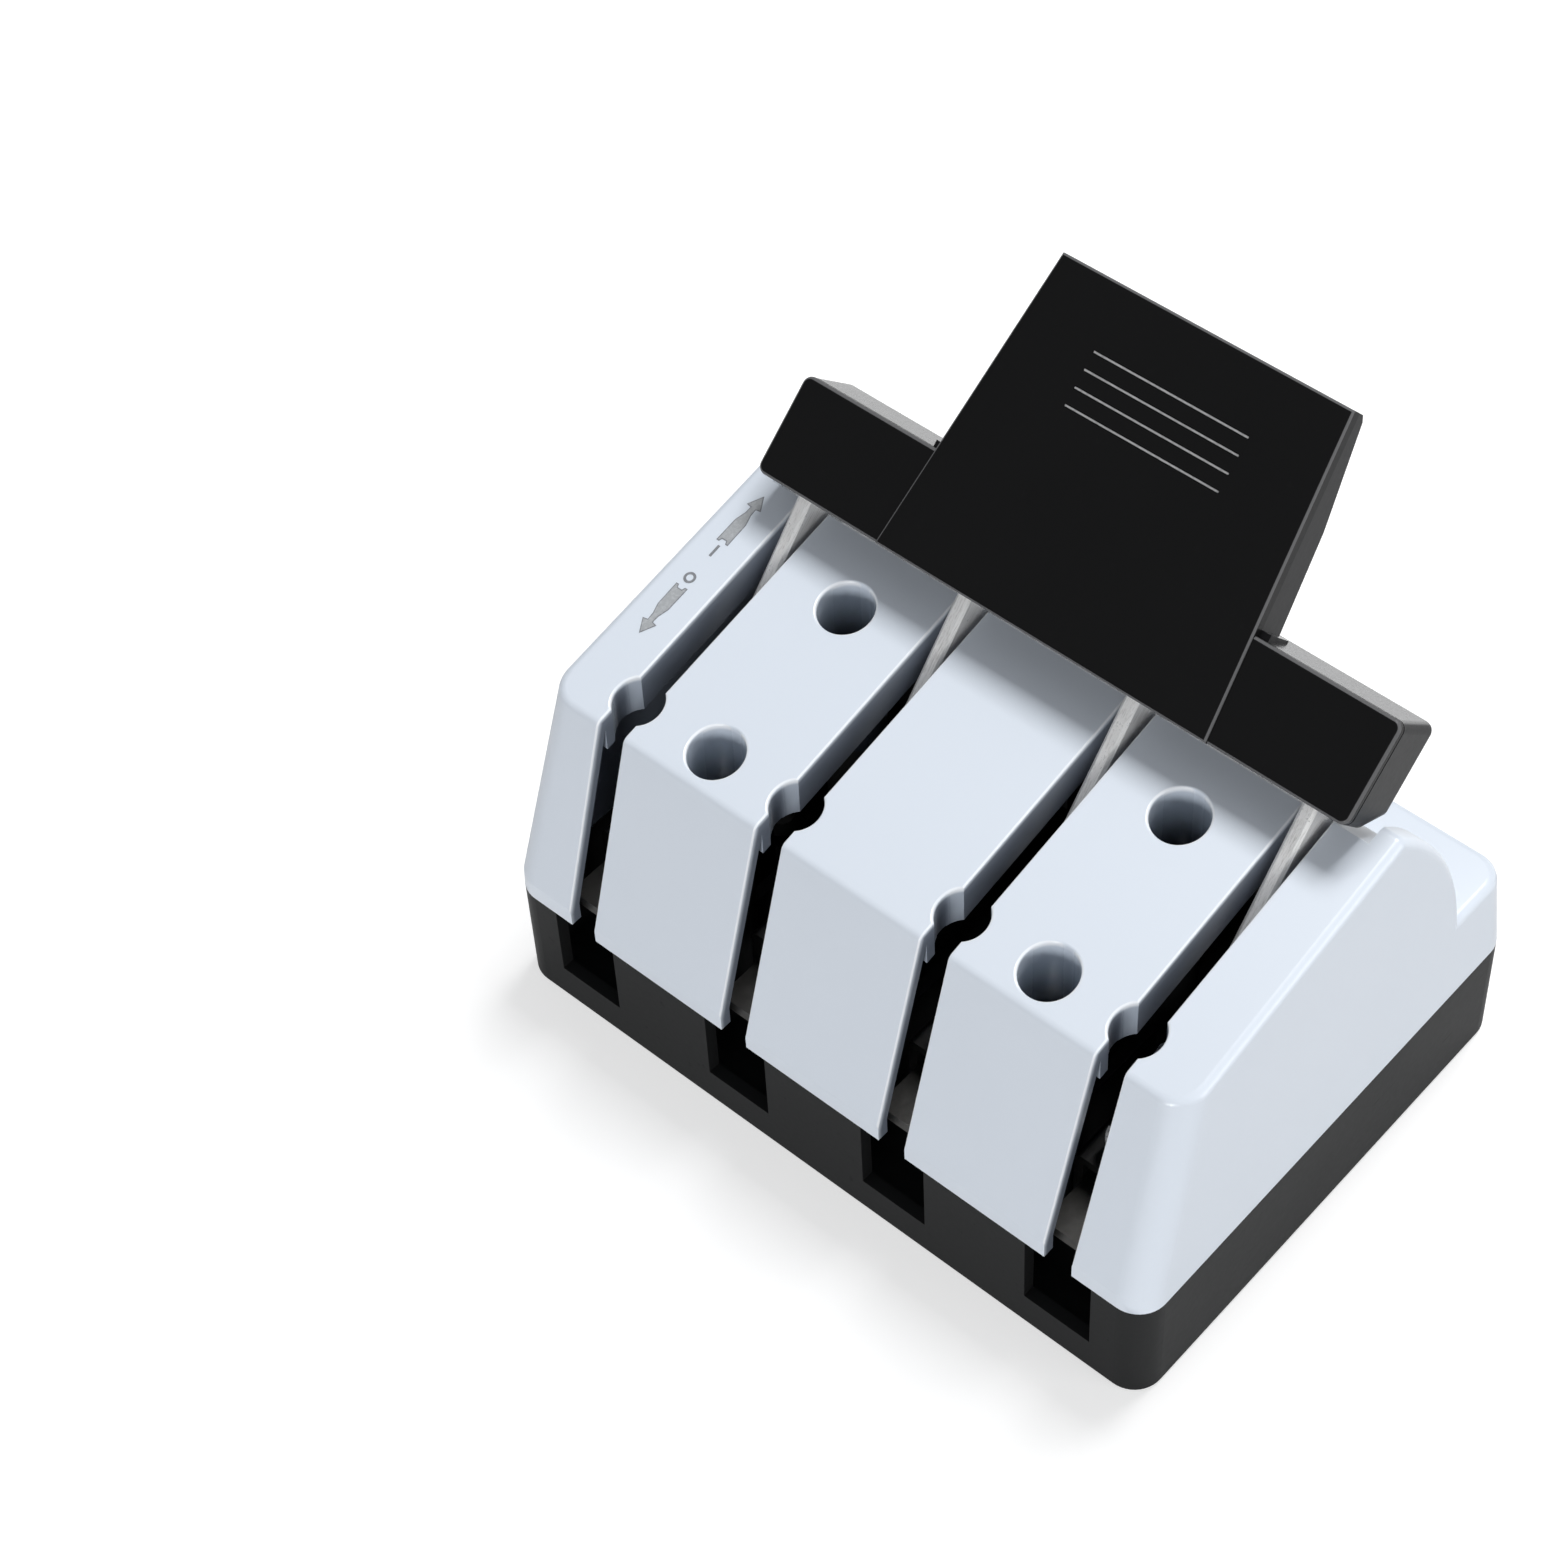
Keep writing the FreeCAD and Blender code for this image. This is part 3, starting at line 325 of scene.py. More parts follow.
@dataclass(frozen=True)
class PaintedShade:
    """How a shell darkens with depth: in its slots, keyholes and wells, and inside it.

    The skin is made of sides with rounded corners, of a top, and of a drum and a shelf behind.
    Lengths are in millimetres.

    Attributes:
        side: the flat at each end of the row of poles.
        front: the flat over the load terminals.
        others: the slope, and the upright flats at the front and the rear.
        shelf: the low shelf behind the drum.
        drum_centre: the drum's middle, in Y and Z.
        drum_radius: its radius.
        shallow: the painted shade on a well's wall.
        flat: the painted shade on a slot's flat wall.
        deep: the painted shade far inside.
        wells_at: how far the two rows of wells stand from the middle, across the poles.
        slot_near: how far from its nearest row of wells a slot starts.
        slot_far: how far from it the slot has surely ended.
        round_share: how much of the slot's painted shade a keyhole's curved wall takes.
        corner: the radius of the upright corners.
        start: the depth at which the skin's colour gives way to the wall's painted shade.
        middle: the depth at which the wall's painted shade gives way to the deep one.
        squarely: how squarely a wall has to face across the poles to be a flat one.
    """

    side: Plane
    front: Plane
    others: tuple[Plane, ...]
    shelf: Plane
    drum_centre: Point
    drum_radius: float
    shallow: Colour
    flat: Colour
    deep: Colour
    wells_at: float = 37.5
    slot_near: Step = (12.0, 0.5)
    slot_far: Step = (24.0, 1.0)
    round_share: float = 0.42
    corner: float = 6.0
    start: Step = (0.95, 0.5)
    middle: Step = (9.5, 6.5)
    squarely: Step = (0.93, 0.05)

    def depth(self, bench: Bench) -> Wire:
        """Finds how far a point lies under the skin.

        Args:
            bench: the material.

        Returns:
            The depth in millimetres.
        """
        axes = bench.axes()
        y, z = axes[1] - self.drum_centre[0], axes[2] - self.drum_centre[1]
        depth = self.shelf.depth(axes).most(self.drum_radius - (y * y + z * z).root())
        for plane in self.others:
            depth = depth.least(plane.depth(axes))
        side, front = self.side.depth(axes), self.front.depth(axes)
        across, along = (self.corner - side).most(0.0), (self.corner - front).most(0.0)
        rounded = self.corner - (across * across + along * along).root()
        beyond = side.least(front).most(self.corner) - self.corner
        return depth.least(rounded + beyond)

    def across(self, bench: Bench) -> Wire:
        """Gives how far a point lies from its nearest row of wells, in millimetres across the poles."""
        return abs(abs(bench.axes()[0]) - self.wells_at)

    def paint_shade(self, bench: Bench, colour: Wire) -> Wire:
        """Paints shade into a colour by depth.

        Args:
            bench: the material.
            colour: the skin's colour.

        Returns:
            The colour with its painted shade at every depth.
        """
        # Painted shade: the skin's colour turns grey-blue and then near black deeper in the slots, keyholes and wells.
        depth = self.depth(bench)
        # Flat slot walls away from the wells take a darker painted shade; curved keyhole walls take part of it.
        flatness = abs(bench.facing(X_AXIS)).step(*self.squarely) * (1 - self.round_share) + self.round_share
        wall = flatness * self.across(bench).step(*self.slot_near)
        near = bench.tint(wall, self.shallow, self.flat)
        inner = bench.tint(depth.step(*self.middle), near, self.deep)
        return bench.tint(depth.step(*self.start), colour, inner)


@dataclass(frozen=True)
class Moulding:
    """A moulded plastic with a fine skin, slow shade changes, faint scuffs and dust.

    Attributes:
        name: the material's name.
        colour: the plastic's colour.
        worn: its colour where it is scuffed or dusty.
        roughness: its mean roughness.
        coat: the weight of the gloss on top.
        skin_depth: the depth of the mould's fine texture, in metres.
        dust: how much the specks of dust show.
        specular: how strongly the plastic mirrors.
        scuff: how much the scuffs show.
        coat_axis: the way that a glossy face faces, where only that face is glossy.
        coat_roughness: the gloss's own roughness.
        edge_highlight_colour: the colour of the painted highlights along rounded edges.
        edge_axis: the axis that the flats beside those edges face along or across, if painted edge highlights show.
        painted_shade: the shade painted into the inside, for a shell with slots.
        slow_scale: the waves to a metre of the slow shade changes.
        skin_scale: those of the fine texture.
        ripple_scale: those of the faint waves that shrinking leaves.
        ripple_depth: the depth of those waves, in metres.
        scuff_scale: the waves to a metre of the scuffs.
        scuff_stretch: how they stretch along X, Y and Z.
        scuff_step: how strong the noise has to be to make a scuff.
        speck_scale: the specks to a metre.
        speck_size: a speck's radius, as a share of their pitch.
        edge_step: how squarely a face has to face along the edges' axis to be on a rounded edge.
        flat_step: how squarely it has to face along it to be on a flat again.
        gloss_step: how squarely a face has to face along the coat's axis to be glossy.
        edge_polish: how much smoother the edges are.
        slow_share: how much the slow changes change the colour.
        scuff_share: how much the scuffs change it.
        slow_rough: how much the slow changes change the roughness.
        scuff_rough: how much the scuffs change it.
        skin_rough: how much the fine texture changes it.
        rough_limits: the least and the greatest roughness.
    """

    name: str
    colour: Colour
    worn: Colour
    roughness: float
    coat: float
    skin_depth: float
    dust: float = 0.0
    specular: float = 0.5
    scuff: float = 1.0
    coat_axis: Triple | None = None
    coat_roughness: float = 0.12
    edge_highlight_colour: Colour = (0.1, 0.1, 0.1)
    edge_axis: Triple | None = None
    painted_shade: PaintedShade | None = None
    slow_scale: float = 22.0
    skin_scale: float = 900.0
    ripple_scale: float = 95.0
    ripple_depth: float = 0.00006
    scuff_scale: float = 420.0
    scuff_stretch: Triple = (1.0, 0.12, 1.0)
    scuff_step: Step = (0.68, 0.05)
    speck_scale: float = 260.0
    speck_size: float = 0.06
    edge_step: Step = (0.20, 0.08)
    flat_step: Step = (0.93, 0.03)
    gloss_step: Step = (0.85, 0.08)
    edge_polish: float = 0.08
    slow_share: float = 0.55
    scuff_share: float = 0.18
    slow_rough: float = 0.10
    scuff_rough: float = 0.12
    skin_rough: float = 0.06
    rough_limits: Limits = (0.05, 0.95)

    def make(self) -> bpy.types.Material:
        """Makes the material's nodes.

        Returns:
            The material.
        """
        bench = Bench(bpy.data.materials.new(self.name))
        where = bench.place()
        slow = bench.noise(where, self.slow_scale, detail=2.0)
        skin = bench.noise(where, self.skin_scale, detail=2.0, rough=0.5)
        ripple = bench.noise(where, self.ripple_scale, detail=1.0, rough=0.4)
        drawn = bench.noise(bench.place(self.scuff_stretch), self.scuff_scale, detail=4.0, rough=0.7)
        scuffs = drawn.step(*self.scuff_step) * self.scuff
        specks = bench.specks(where, self.speck_scale, self.speck_size)
        mask = (slow * self.slow_share + scuffs * self.scuff_share + specks * self.dust).held(0.0, 1.0)
        colour = bench.tint(mask, self.colour, self.worn)
        rough = (slow - NOISE_MEAN) * self.slow_rough + scuffs * self.scuff_rough
        rough = rough + (skin - NOISE_MEAN) * self.skin_rough + self.roughness
        # Painted highlights: rounded edges, found by the way they face, get a lighter colour as if they caught the
        # light; on a shell with slots only edges near the slots get them.
        if self.edge_axis:
            facing = abs(bench.facing(self.edge_axis))
            edge = facing.step(*self.edge_step) * (1 - facing.step(*self.flat_step))
            if self.painted_shade:
                edge = edge * (1 - self.painted_shade.across(bench).step(*self.painted_shade.slot_far))
            colour = bench.tint(edge, colour, self.edge_highlight_colour)
            rough = rough - edge * self.edge_polish
        # Painted shade in the slots, keyholes and wells.
        if self.painted_shade:
            colour = self.painted_shade.paint_shade(bench, colour)
        relief = bench.bump(ripple, self.ripple_depth, strength=0.25)
        relief = bench.bump(skin, self.skin_depth, strength=0.35, under=relief)
        coat = bench.facing(self.coat_axis).step(*self.gloss_step) * self.coat if self.coat_axis else self.coat
        return bench.finish(Base_Color=colour, Roughness=rough.held(*self.rough_limits), Normal=relief,
                            Coat_Weight=coat, Coat_Roughness=self.coat_roughness, Specular_IOR_Level=self.specular)


@dataclass(frozen=True)
class Metal:
    """A worked metal: brushed or plated, with spots of tarnish and fine scratches.

    Attributes:
        name: the material's name.
        colour: the metal's colour.
        tarnish: its colour where it is dull.
        roughness: its mean roughness.
        grain: the way of its brush marks.
        turn: how far the piece is turned about X, in radians, so that the marks follow it.
        scratch_depth: the depth of the marks, in metres.
        spots: how much the wide clouds of tarnish show.
        metallic: the metal's share. A tinned, dull sheet is less than 1.
        streaks: how much the marks change the colour.
        blotches: how much the small blotches change it.
        brush_scale: the waves to a metre of the brush marks.
        mottle_scale: those of the blotches.
        cloud_scale: those of the clouds.
        cloud_step: how strong the noise has to be to make a cloud.
        mottle_relief: the blotches' depth, as a multiple of the scratches'.
        brush_rough: how much the brush marks change the roughness.
        mottle_rough: how much the blotches change it.
        cloud_rough: how much the clouds raise it.
        rough_limits: the least and the greatest roughness.
    """

    name: str
    colour: Colour
    tarnish: Colour
    roughness: float
    grain: Grain
    turn: float = 0.0
    scratch_depth: float = 0.00003
    spots: float = 0.5
    metallic: float = 1.0
    streaks: float = 0.0
    blotches: float = 0.8
    brush_scale: float = 1500.0
    mottle_scale: float = 650.0
    cloud_scale: float = 120.0
    cloud_step: Step = (0.56, 0.16)
    mottle_relief: float = 1.6
    brush_rough: float = 0.22
    mottle_rough: float = 0.25
    cloud_rough: float = 0.08
    rough_limits: Limits = (0.08, 0.9)

    def make(self) -> bpy.types.Material:
        """Makes the material's nodes.

        Returns:
            The material.
        """
        bench = Bench(bpy.data.materials.new(self.name))
        where = bench.place()
        along = bench.place(self.grain.value, self.turn)
        brush = bench.noise(along, self.brush_scale, detail=3.0, rough=0.65)
        mottle = bench.noise(where, self.mottle_scale, detail=4.0, rough=0.7)
        cloud = bench.noise(where, self.cloud_scale, detail=3.0, rough=0.6).step(*self.cloud_step)
        dull = cloud * self.spots + (mottle - NOISE_MEAN) * self.blotches + (brush - NOISE_MEAN) * self.streaks
        colour = bench.tint(dull.held(0.0, 1.0), self.colour, self.tarnish)
        rough = (brush - NOISE_MEAN) * self.brush_rough + (mottle - NOISE_MEAN) * self.mottle_rough
        rough = rough + cloud * self.cloud_rough + self.roughness
        relief = bench.bump(brush, self.scratch_depth, strength=0.5)
        relief = bench.bump(mottle, self.scratch_depth * self.mottle_relief, strength=0.4, under=relief)
        return bench.finish(Base_Color=colour, Roughness=rough.held(*self.rough_limits), Normal=relief,
                            Metallic=self.metallic)


@dataclass(frozen=True)
class Print:
    """A thin matt print or paint, a little uneven and worn through in small spots.

    Attributes:
        name: the material's name.
        colour: the print's colour.
        thin: its colour where it is thin.
        roughness: its mean roughness.
        patch_scale: the waves to a metre of its unevenness.
        patch_step: how strong the noise has to be to thin it.
        patch_rough: how much the unevenness changes the roughness.
        film_depth: its depth, in metres.
    """

    name: str
    colour: Colour
    thin: Colour
    roughness: float = 0.55
    patch_scale: float = 1400.0
    patch_step: Step = (0.56, 0.14)
    patch_rough: float = 0.2
    film_depth: float = 0.00002

    def make(self) -> bpy.types.Material:
        """Makes the material's nodes.

        Returns:
            The material.
        """
        bench = Bench(bpy.data.materials.new(self.name))
        where = bench.place()
        patchy = bench.noise(where, self.patch_scale, detail=4.0, rough=0.7)
        colour = bench.tint(patchy.step(*self.patch_step), self.colour, self.thin)
        relief = bench.bump(patchy, self.film_depth, strength=0.4)
        rough = (patchy - NOISE_MEAN) * self.patch_rough + self.roughness
        return bench.finish(Base_Color=colour, Roughness=rough, Normal=relief)


# The colour of the handle's painted edge highlights.
HANDLE_EDGE_HIGHLIGHT: Colour = (0.12, 0.12, 0.123)
# The cover's painted shade: grey-blue near the skin, near black deep inside.
COVER_PAINTED_SHADE = PaintedShade(
    side=Plane((0.9983, 0.0, 0.0579), 76.38), front=Plane((0.0, -0.9589, 0.2837), 60.68),
    others=(Plane((0.0, -0.2091, 0.9779), 79.74), Plane((0.0, -1.0, 0.0), 54.8), Plane((0.0, 0.9956, 0.0941), 56.6)),
    shelf=Plane((0.0, 0.0, 1.0), 46.0), drum_centre=PIVOT, drum_radius=53.2,
    shallow=(0.54, 0.60, 0.68), flat=(0.235, 0.268, 0.328), deep=(0.023, 0.028, 0.038))
# The cover's edge colour paints highlights along the rounded rims of its slots, keyholes and wells.
COVER = Moulding("cover_moulding", (0.72, 0.775, 0.85), (0.68, 0.74, 0.82), 0.32, 0.15, 0.000018, dust=0.15,
                 scuff=0.2, edge_highlight_colour=(0.86, 0.89, 0.93), edge_axis=X_AXIS, painted_shade=COVER_PAINTED_SHADE)
BASE = Moulding("base_moulding", (0.017, 0.0175, 0.018), (0.022, 0.0225, 0.023), 0.42, 0.0, 0.00003, dust=0.3,
                specular=0.06)
HANDLE_FACE = Moulding("handle_face_moulding", (0.007, 0.007, 0.0072), (0.010, 0.010, 0.0103), 0.33, 0.0, 0.00003,
                       dust=0.3, specular=0.08, edge_highlight_colour=HANDLE_EDGE_HIGHLIGHT, edge_axis=PLATE_AXIS)
# Painted light: the shell's black is lighter than the front plate's so that the handle's sides show lighter.
HANDLE_SHELL = Moulding("handle_shell_moulding", (0.012, 0.012, 0.013), (0.018, 0.018, 0.019), 0.34, 1.0, 0.00003,
                        dust=0.3, specular=0.12, coat_axis=PLATE_UP, coat_roughness=0.2, edge_highlight_colour=HANDLE_EDGE_HIGHLIGHT,
                        edge_axis=PLATE_AXIS)
BLADE = Metal("tinned_blade", (0.99, 0.985, 0.975), (0.56, 0.55, 0.53), 0.32, Grain.ALONG_BLADE, -REST_TURN,
              spots=0.25, metallic=0.3, streaks=2.8, blotches=0.2)
# Painted shade: the tinned copper contacts are coloured near black to stand for the shade deep in the slots.
CONTACT_IN_PAINTED_SHADE = Metal("tinned_contact_in_painted_shade", (0.085, 0.083, 0.08), (0.04, 0.038, 0.036), 0.36, Grain.ALONG_Y)
PLATED = Metal("zinc_plated_steel", (0.74, 0.75, 0.77), (0.52, 0.52, 0.53), 0.28, Grain.NONE)
SPRING = Metal("blued_spring_steel", (0.34, 0.35, 0.38), (0.22, 0.22, 0.25), 0.34, Grain.ALONG_Y)
# Painted shade: the steel clamps are coloured near black to stand for the shade deep in the slots.
CLAMP_IN_PAINTED_SHADE = Metal("folded_clamp_steel_in_painted_shade", (0.08, 0.08, 0.08), (0.04, 0.04, 0.039), 0.34, Grain.ALONG_Y)
MARK_EDGE = Print("mark_edge_print", (0.20, 0.21, 0.23), (0.30, 0.315, 0.34))
MARK_FILL = Print("mark_fill_print", (0.36, 0.375, 0.39), (0.46, 0.475, 0.495))
# The light grey of the strips in the grip's grooves.
GRIP_LINE_GREY = Print("grip_line_grey", (0.62, 0.62, 0.62), (0.42, 0.42, 0.42))

# Meshes -----------------------------------------------------------------------------------


class Surface:
    """The outside of a CAD node, for finding what a piece lies on."""

    START_HEIGHT = 0.5  # metres, well above the part

    def __init__(self, node: str) -> None:
        """Reads the node's mesh.

        Args:
            node: the node's name.
        """
        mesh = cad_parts[node].data
        corners = [vertex.co.copy() for vertex in mesh.vertices]
        self.tree = BVHTree.FromPolygons(corners, [tuple(face.vertices) for face in mesh.polygons])

    def drop(self, x: float, y: float) -> Vector:
        """Finds the highest point of the surface over a place.

        Args:
            x: the place across the poles, in metres.
            y: the place front to back, in metres.

        Returns:
            The point.
        """
        found = self.tree.ray_cast(Vector((x, y, self.START_HEIGHT)), Vector((0.0, 0.0, -1.0)))[0]
        if found is None:
            raise ValueError(f"nothing of the surface lies at {x}, {y}")
        return found


def make_piece(name: str, points: list[Vector], faces: list[tuple[int, ...]], material: bpy.types.Material,
               body: Body) -> bpy.types.Object:
    """Makes a mesh piece that rides on a body.

    Args:
        name: the piece's name.
        points: its vertices, in metres.
        faces: their numbers, face by face.
        material: what it is made of.
        body: what it rides on.

    Returns:
        The piece.
    """
    mesh = bpy.data.meshes.new(name)
    mesh.from_pydata(points, [], faces)
    mesh.validate()
    mesh.materials.append(material)
    piece = bpy.data.objects.new(name, mesh)
    bpy.context.scene.collection.objects.link(piece)
    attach(piece, body.value)
    LOG.info("%s: %d faces on %s", name, len(mesh.polygons), body.value)
    return piece


@dataclass
class Mouldings:
    """The plastic and metal nodes that CAD made, each with its finish.

    A name that ends in _ stands for every node whose name starts with it.
    """

    finishes: dict[str, Moulding | Metal] = field(default_factory=lambda: {
        "base": BASE, "cover": COVER, "handle_front": HANDLE_FACE, "handle_back": HANDLE_SHELL, "blade_": BLADE,
        "hinge_contact_": CONTACT_IN_PAINTED_SHADE, "jaw_contact_": CONTACT_IN_PAINTED_SHADE, "jaw_clip_": SPRING, "load_clamp_": CLAMP_IN_PAINTED_SHADE,
        "line_clamp_": CLAMP_IN_PAINTED_SHADE, "load_screws": PLATED, "line_screws": PLATED, "pivot_bolts": PLATED,
        "pivot_washers": SPRING, "pivot_nuts": PLATED, "contact_screws": PLATED, "cover_screws": PLATED,
        "handle_screws": PLATED, "tie_rod": PLATED})

    def dress(self) -> None:
        """Gives every CAD node its material."""
        made: dict[Moulding | Metal, bpy.types.Material] = {}
        for node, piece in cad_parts.items():
            key = next(name for name in self.finishes if node == name or (name[-1] == "_" and node.startswith(name)))
            finish = self.finishes[key]
            if finish not in made:
                made[finish] = finish.make()
            for slot in piece.material_slots:
                slot.material = made[finish]
            LOG.info("%s: %s", node, finish.name)


def inset(outline: list[Point], by: float) -> list[Point]:
    """Moves a closed outline in by a margin, with its corners kept sharp.

    Args:
        outline: its corners, anticlockwise.
        by: the margin.

    Returns:
        The inner outline's corners.
    """
    moved = []
    for before, here, after in zip(outline[-1:] + outline[:-1], outline, outline[1:] + outline[:1]):
        sides = []
        for start, end in ((before, here), (here, after)):
            length = math.dist(start, end)
            sides.append(Vector((start[1] - end[1], end[0] - start[0])) / length)
        mitre = (sides[0] + sides[1]) * (by / (1 + sides[0].dot(sides[1])))
        moved.append((here[0] + mitre.x, here[1] + mitre.y))
    return moved


@dataclass
class DirectionMarks:
    """The two printed arrows on the cover's left panel, with the bar for closed and the ring for open.

    Places are across the poles from the arrows' middle line, and front to back in the part's frame.

    Attributes:
        centre_x: the middle line's place across the poles.
        lift: how far the print stands proud of the cover.
        edge: the width of an arrow's darker edge.
        ring_y: the ring's place front to back.
        ring_outer: its outer radius.
        ring_inner: its inner radius.
        ring_steps: the sides that it is made of.
        bar: the bar's corners.
        half_arrow: one half of the closed arrow, from its notched tail to its barb.
        tip: its tip's place front to back.
        turned_about: the sum of a point's place and that of its twin in the open arrow.
    """

    centre_x: float = -65.65
    lift: float = 0.03
    edge: float = 0.2
    ring_y: float = -9.9
    ring_outer: float = 1.2
    ring_inner: float = 0.68
    ring_steps: int = 40
    bar: tuple[Point, ...] = ((-0.28, -4.45), (0.28, -4.45), (0.28, -1.75), (-0.28, -1.75))
    half_arrow: tuple[Point, ...] = ((0.5, -0.4), (0.75, -1.05), (1.38, -1.05), (1.32, 4.2), (0.72, 6.2),
                                     (0.65, 7.65), (1.7, 7.85))
    tip: float = 10.8
    turned_about: float = -13.05

    def build(self) -> None:
        """Lays each mark on the cover."""
        surface = Surface("cover")
        ink = MARK_EDGE.make()
        fill = MARK_FILL.make()
        mirrored = [(-x, y) for x, y in reversed(self.half_arrow)]
        closed = [*self.half_arrow, (0.0, self.tip), *mirrored]
        turned = [(-x, self.turned_about - y) for x, y in closed]
        for name, outline in (("closed_arrow", closed), ("open_arrow", turned)):
            self._lay(name, outline, surface, ink, self.lift)
            self._lay(name + "_fill", inset(outline, self.edge), surface, fill, 2 * self.lift)
        self._lay("closed_bar", list(self.bar), surface, ink, self.lift)
        self._lay_ring(surface, ink)

    def _spot(self, point: Point, surface: Surface, lift: float) -> Vector:
        """Puts a point of a mark on the cover, just proud of it."""
        found = surface.drop((self.centre_x + point[0]) * MM, point[1] * MM)
        return found + Vector((0.0, 0.0, lift * MM))

    def _lay(self, name: str, outline: list[Point], surface: Surface, ink: bpy.types.Material, lift: float) -> None:
        """Lays one outlined mark."""
        points = [self._spot(point, surface, lift) for point in outline]
        make_piece(name, points, [tuple(range(len(points)))], ink, Body.HOUSING)

    def _lay_ring(self, surface: Surface, ink: bpy.types.Material) -> None:
        """Lays the ring for open.

        Args:
            surface: the cover's outside.
            ink: the print.
        """
        points = []
        faces = []
        for step in range(self.ring_steps):
            turn = 2 * math.pi * step / self.ring_steps
            for radius in (self.ring_outer, self.ring_inner):
                point = (radius * math.cos(turn), self.ring_y + radius * math.sin(turn))
                points.append(self._spot(point, surface, self.lift))
            after = 2 * ((step + 1) % self.ring_steps)
            faces.append((2 * step, after, after + 1, 2 * step + 1))
        make_piece("open_ring", points, faces, ink, Body.HOUSING)


@dataclass
class KeyholeWalls:
    """The walls of the cover's keyholes under the slope, one at each side of each slot.

    Attributes:
        poles: the slots' places across the poles.
        centre_y: the keyholes' place front to back.
        crease: the Y and Z of the line where the slope starts.
        slope_rise: how much the slope rises to a millimetre from front to back.
        inner: the wall's inner radius.
        outer: its outer radius.
        slot_half: half the slot's width.
        top_depth: how far under the slope a wall starts.
        low_depth: how far under the slope it ends.
        steps: the flats that it is made of.
        smooth_angle: the sharpest turn between two faces that is shaded as one, in degrees.
    """

    poles: tuple[float, ...] = (-56.25, -18.75, 18.75, 56.25)
    centre_y: float = -34.3
    crease: Point = (-41.8, 72.6)
    slope_rise: float = 0.2138
    inner: float = 5.05
    outer: float = 6.75
    slot_half: float = 3.0
    top_depth: float = 1.7
    low_depth: float = 9.0
    steps: int = 18
    smooth_angle: float = 40.0

    def build(self) -> None:
        """Makes a piece of two walls for each pole."""
        plastic = COVER.make()
        for number, pole in enumerate(self.poles, 1):
            points: list[Vector] = []
            faces: list[tuple[int, ...]] = []
            for middle in (0.0, math.pi):
                self._add_wall(pole, middle, points, faces)
            wall = make_piece(f"keyhole_walls_{number}", points, faces, plastic, Body.HOUSING)
            wall.data.shade_smooth()
            wall.data.set_sharp_from_angle(angle=math.radians(self.smooth_angle))

    def _add_wall(self, pole: float, middle: float, points: list[Vector], faces: list[tuple[int, ...]]) -> None:
        """Adds one curved wall.

        Args:
            pole: the slot's place across the poles.
            middle: the angle of the wall's middle.
            points: the piece's vertices so far.
            faces: the piece's faces so far.
        """
        first = len(points)
        section = ((self.inner, self.top_depth), (self.inner, self.low_depth),
                   (self.outer, self.low_depth), (self.outer, self.top_depth))
        corners = len(section)
        reach = math.acos(self.slot_half / self.inner)
        for step in range(self.steps + 1):
            turn = middle + reach * (2 * step / self.steps - 1)
            for radius, depth in section:
                x, y = pole + radius * math.cos(turn), self.centre_y + radius * math.sin(turn)
                slope = self.crease[1] + (y - self.crease[0]) * self.slope_rise
                points.append(Vector((x, y, slope - depth)) * MM)
        for step in range(self.steps):
            here = first + corners * step
            for corner in range(corners):
                after = (corner + 1) % corners
                faces.append((here + corner, here + after, here + corners + after, here + corners + corner))
        last = first + corners * self.steps
        faces.append(tuple(reversed(range(first, first + corners))))
        faces.append(tuple(range(last, last + corners)))


@dataclass
class GripLines:
    """The light lines in the grip's four engraved grooves.

    Attributes:
        first_reach: the first line's distance from the pivot along the closed handle.
        pitch: the distance from line to line.
        count: the number of lines.
        half_length: half a line's length.
        half_width: half its width.
        rise: the lines' height over the pivot when the handle is closed.
    """

    first_reach: float = 91.35
    pitch: float = 3.47
    count: int = 4
    half_length: float = 16.6
    half_width: float = 0.18
    rise: float = 19.96

    def _spot(self, x: float, reach: float) -> Vector:
        """Turns a place on the closed grip to where it is at rest.

        Args:
            x: the place across the poles.
            reach: its distance from the pivot along the grip.

        Returns:
            The place at rest, in metres.
        """
        cos, sin = math.cos(REST_TURN), math.sin(REST_TURN)
        y = PIVOT[0] + reach * cos - self.rise * sin
        z = PIVOT[1] + reach * sin + self.rise * cos
        return Vector((x, y, z)) * MM

    def build(self) -> None:
        """Lays a light grey strip in each groove."""
        paint = GRIP_LINE_GREY.make()
        corners = ((-1, -1), (1, -1), (1, 1), (-1, 1))
        points: list[Vector] = []
        faces: list[tuple[int, ...]] = []
        for number in range(self.count):
            reach = self.first_reach + number * self.pitch
            faces.append(tuple(range(len(points), len(points) + len(corners))))
            points += [self._spot(a * self.half_length, reach + b * self.half_width) for a, b in corners]
        make_piece("grip_lines", points, faces, paint, Body.HANDLE)


# Light, floor and camera --------------------------------------------------------------------


@dataclass
class Lamp:
    """One soft square lamp that looks at the object, in metres and watts."""

    name: str
    place: Triple
    size: float
    power: float
    target: Triple = (0.0, 0.0, 0.05)

    def build(self) -> None:
        """Hangs the lamp."""
        light = bpy.data.lights.new(self.name, "AREA")
        light.size = self.size
        light.energy = self.power
        lamp = bpy.data.objects.new(self.name, light)
        lamp.location = self.place
        lamp.rotation_euler = (Vector(self.target) - Vector(self.place)).to_track_quat("-Z", "Y").to_euler()
        bpy.context.scene.collection.objects.link(lamp)


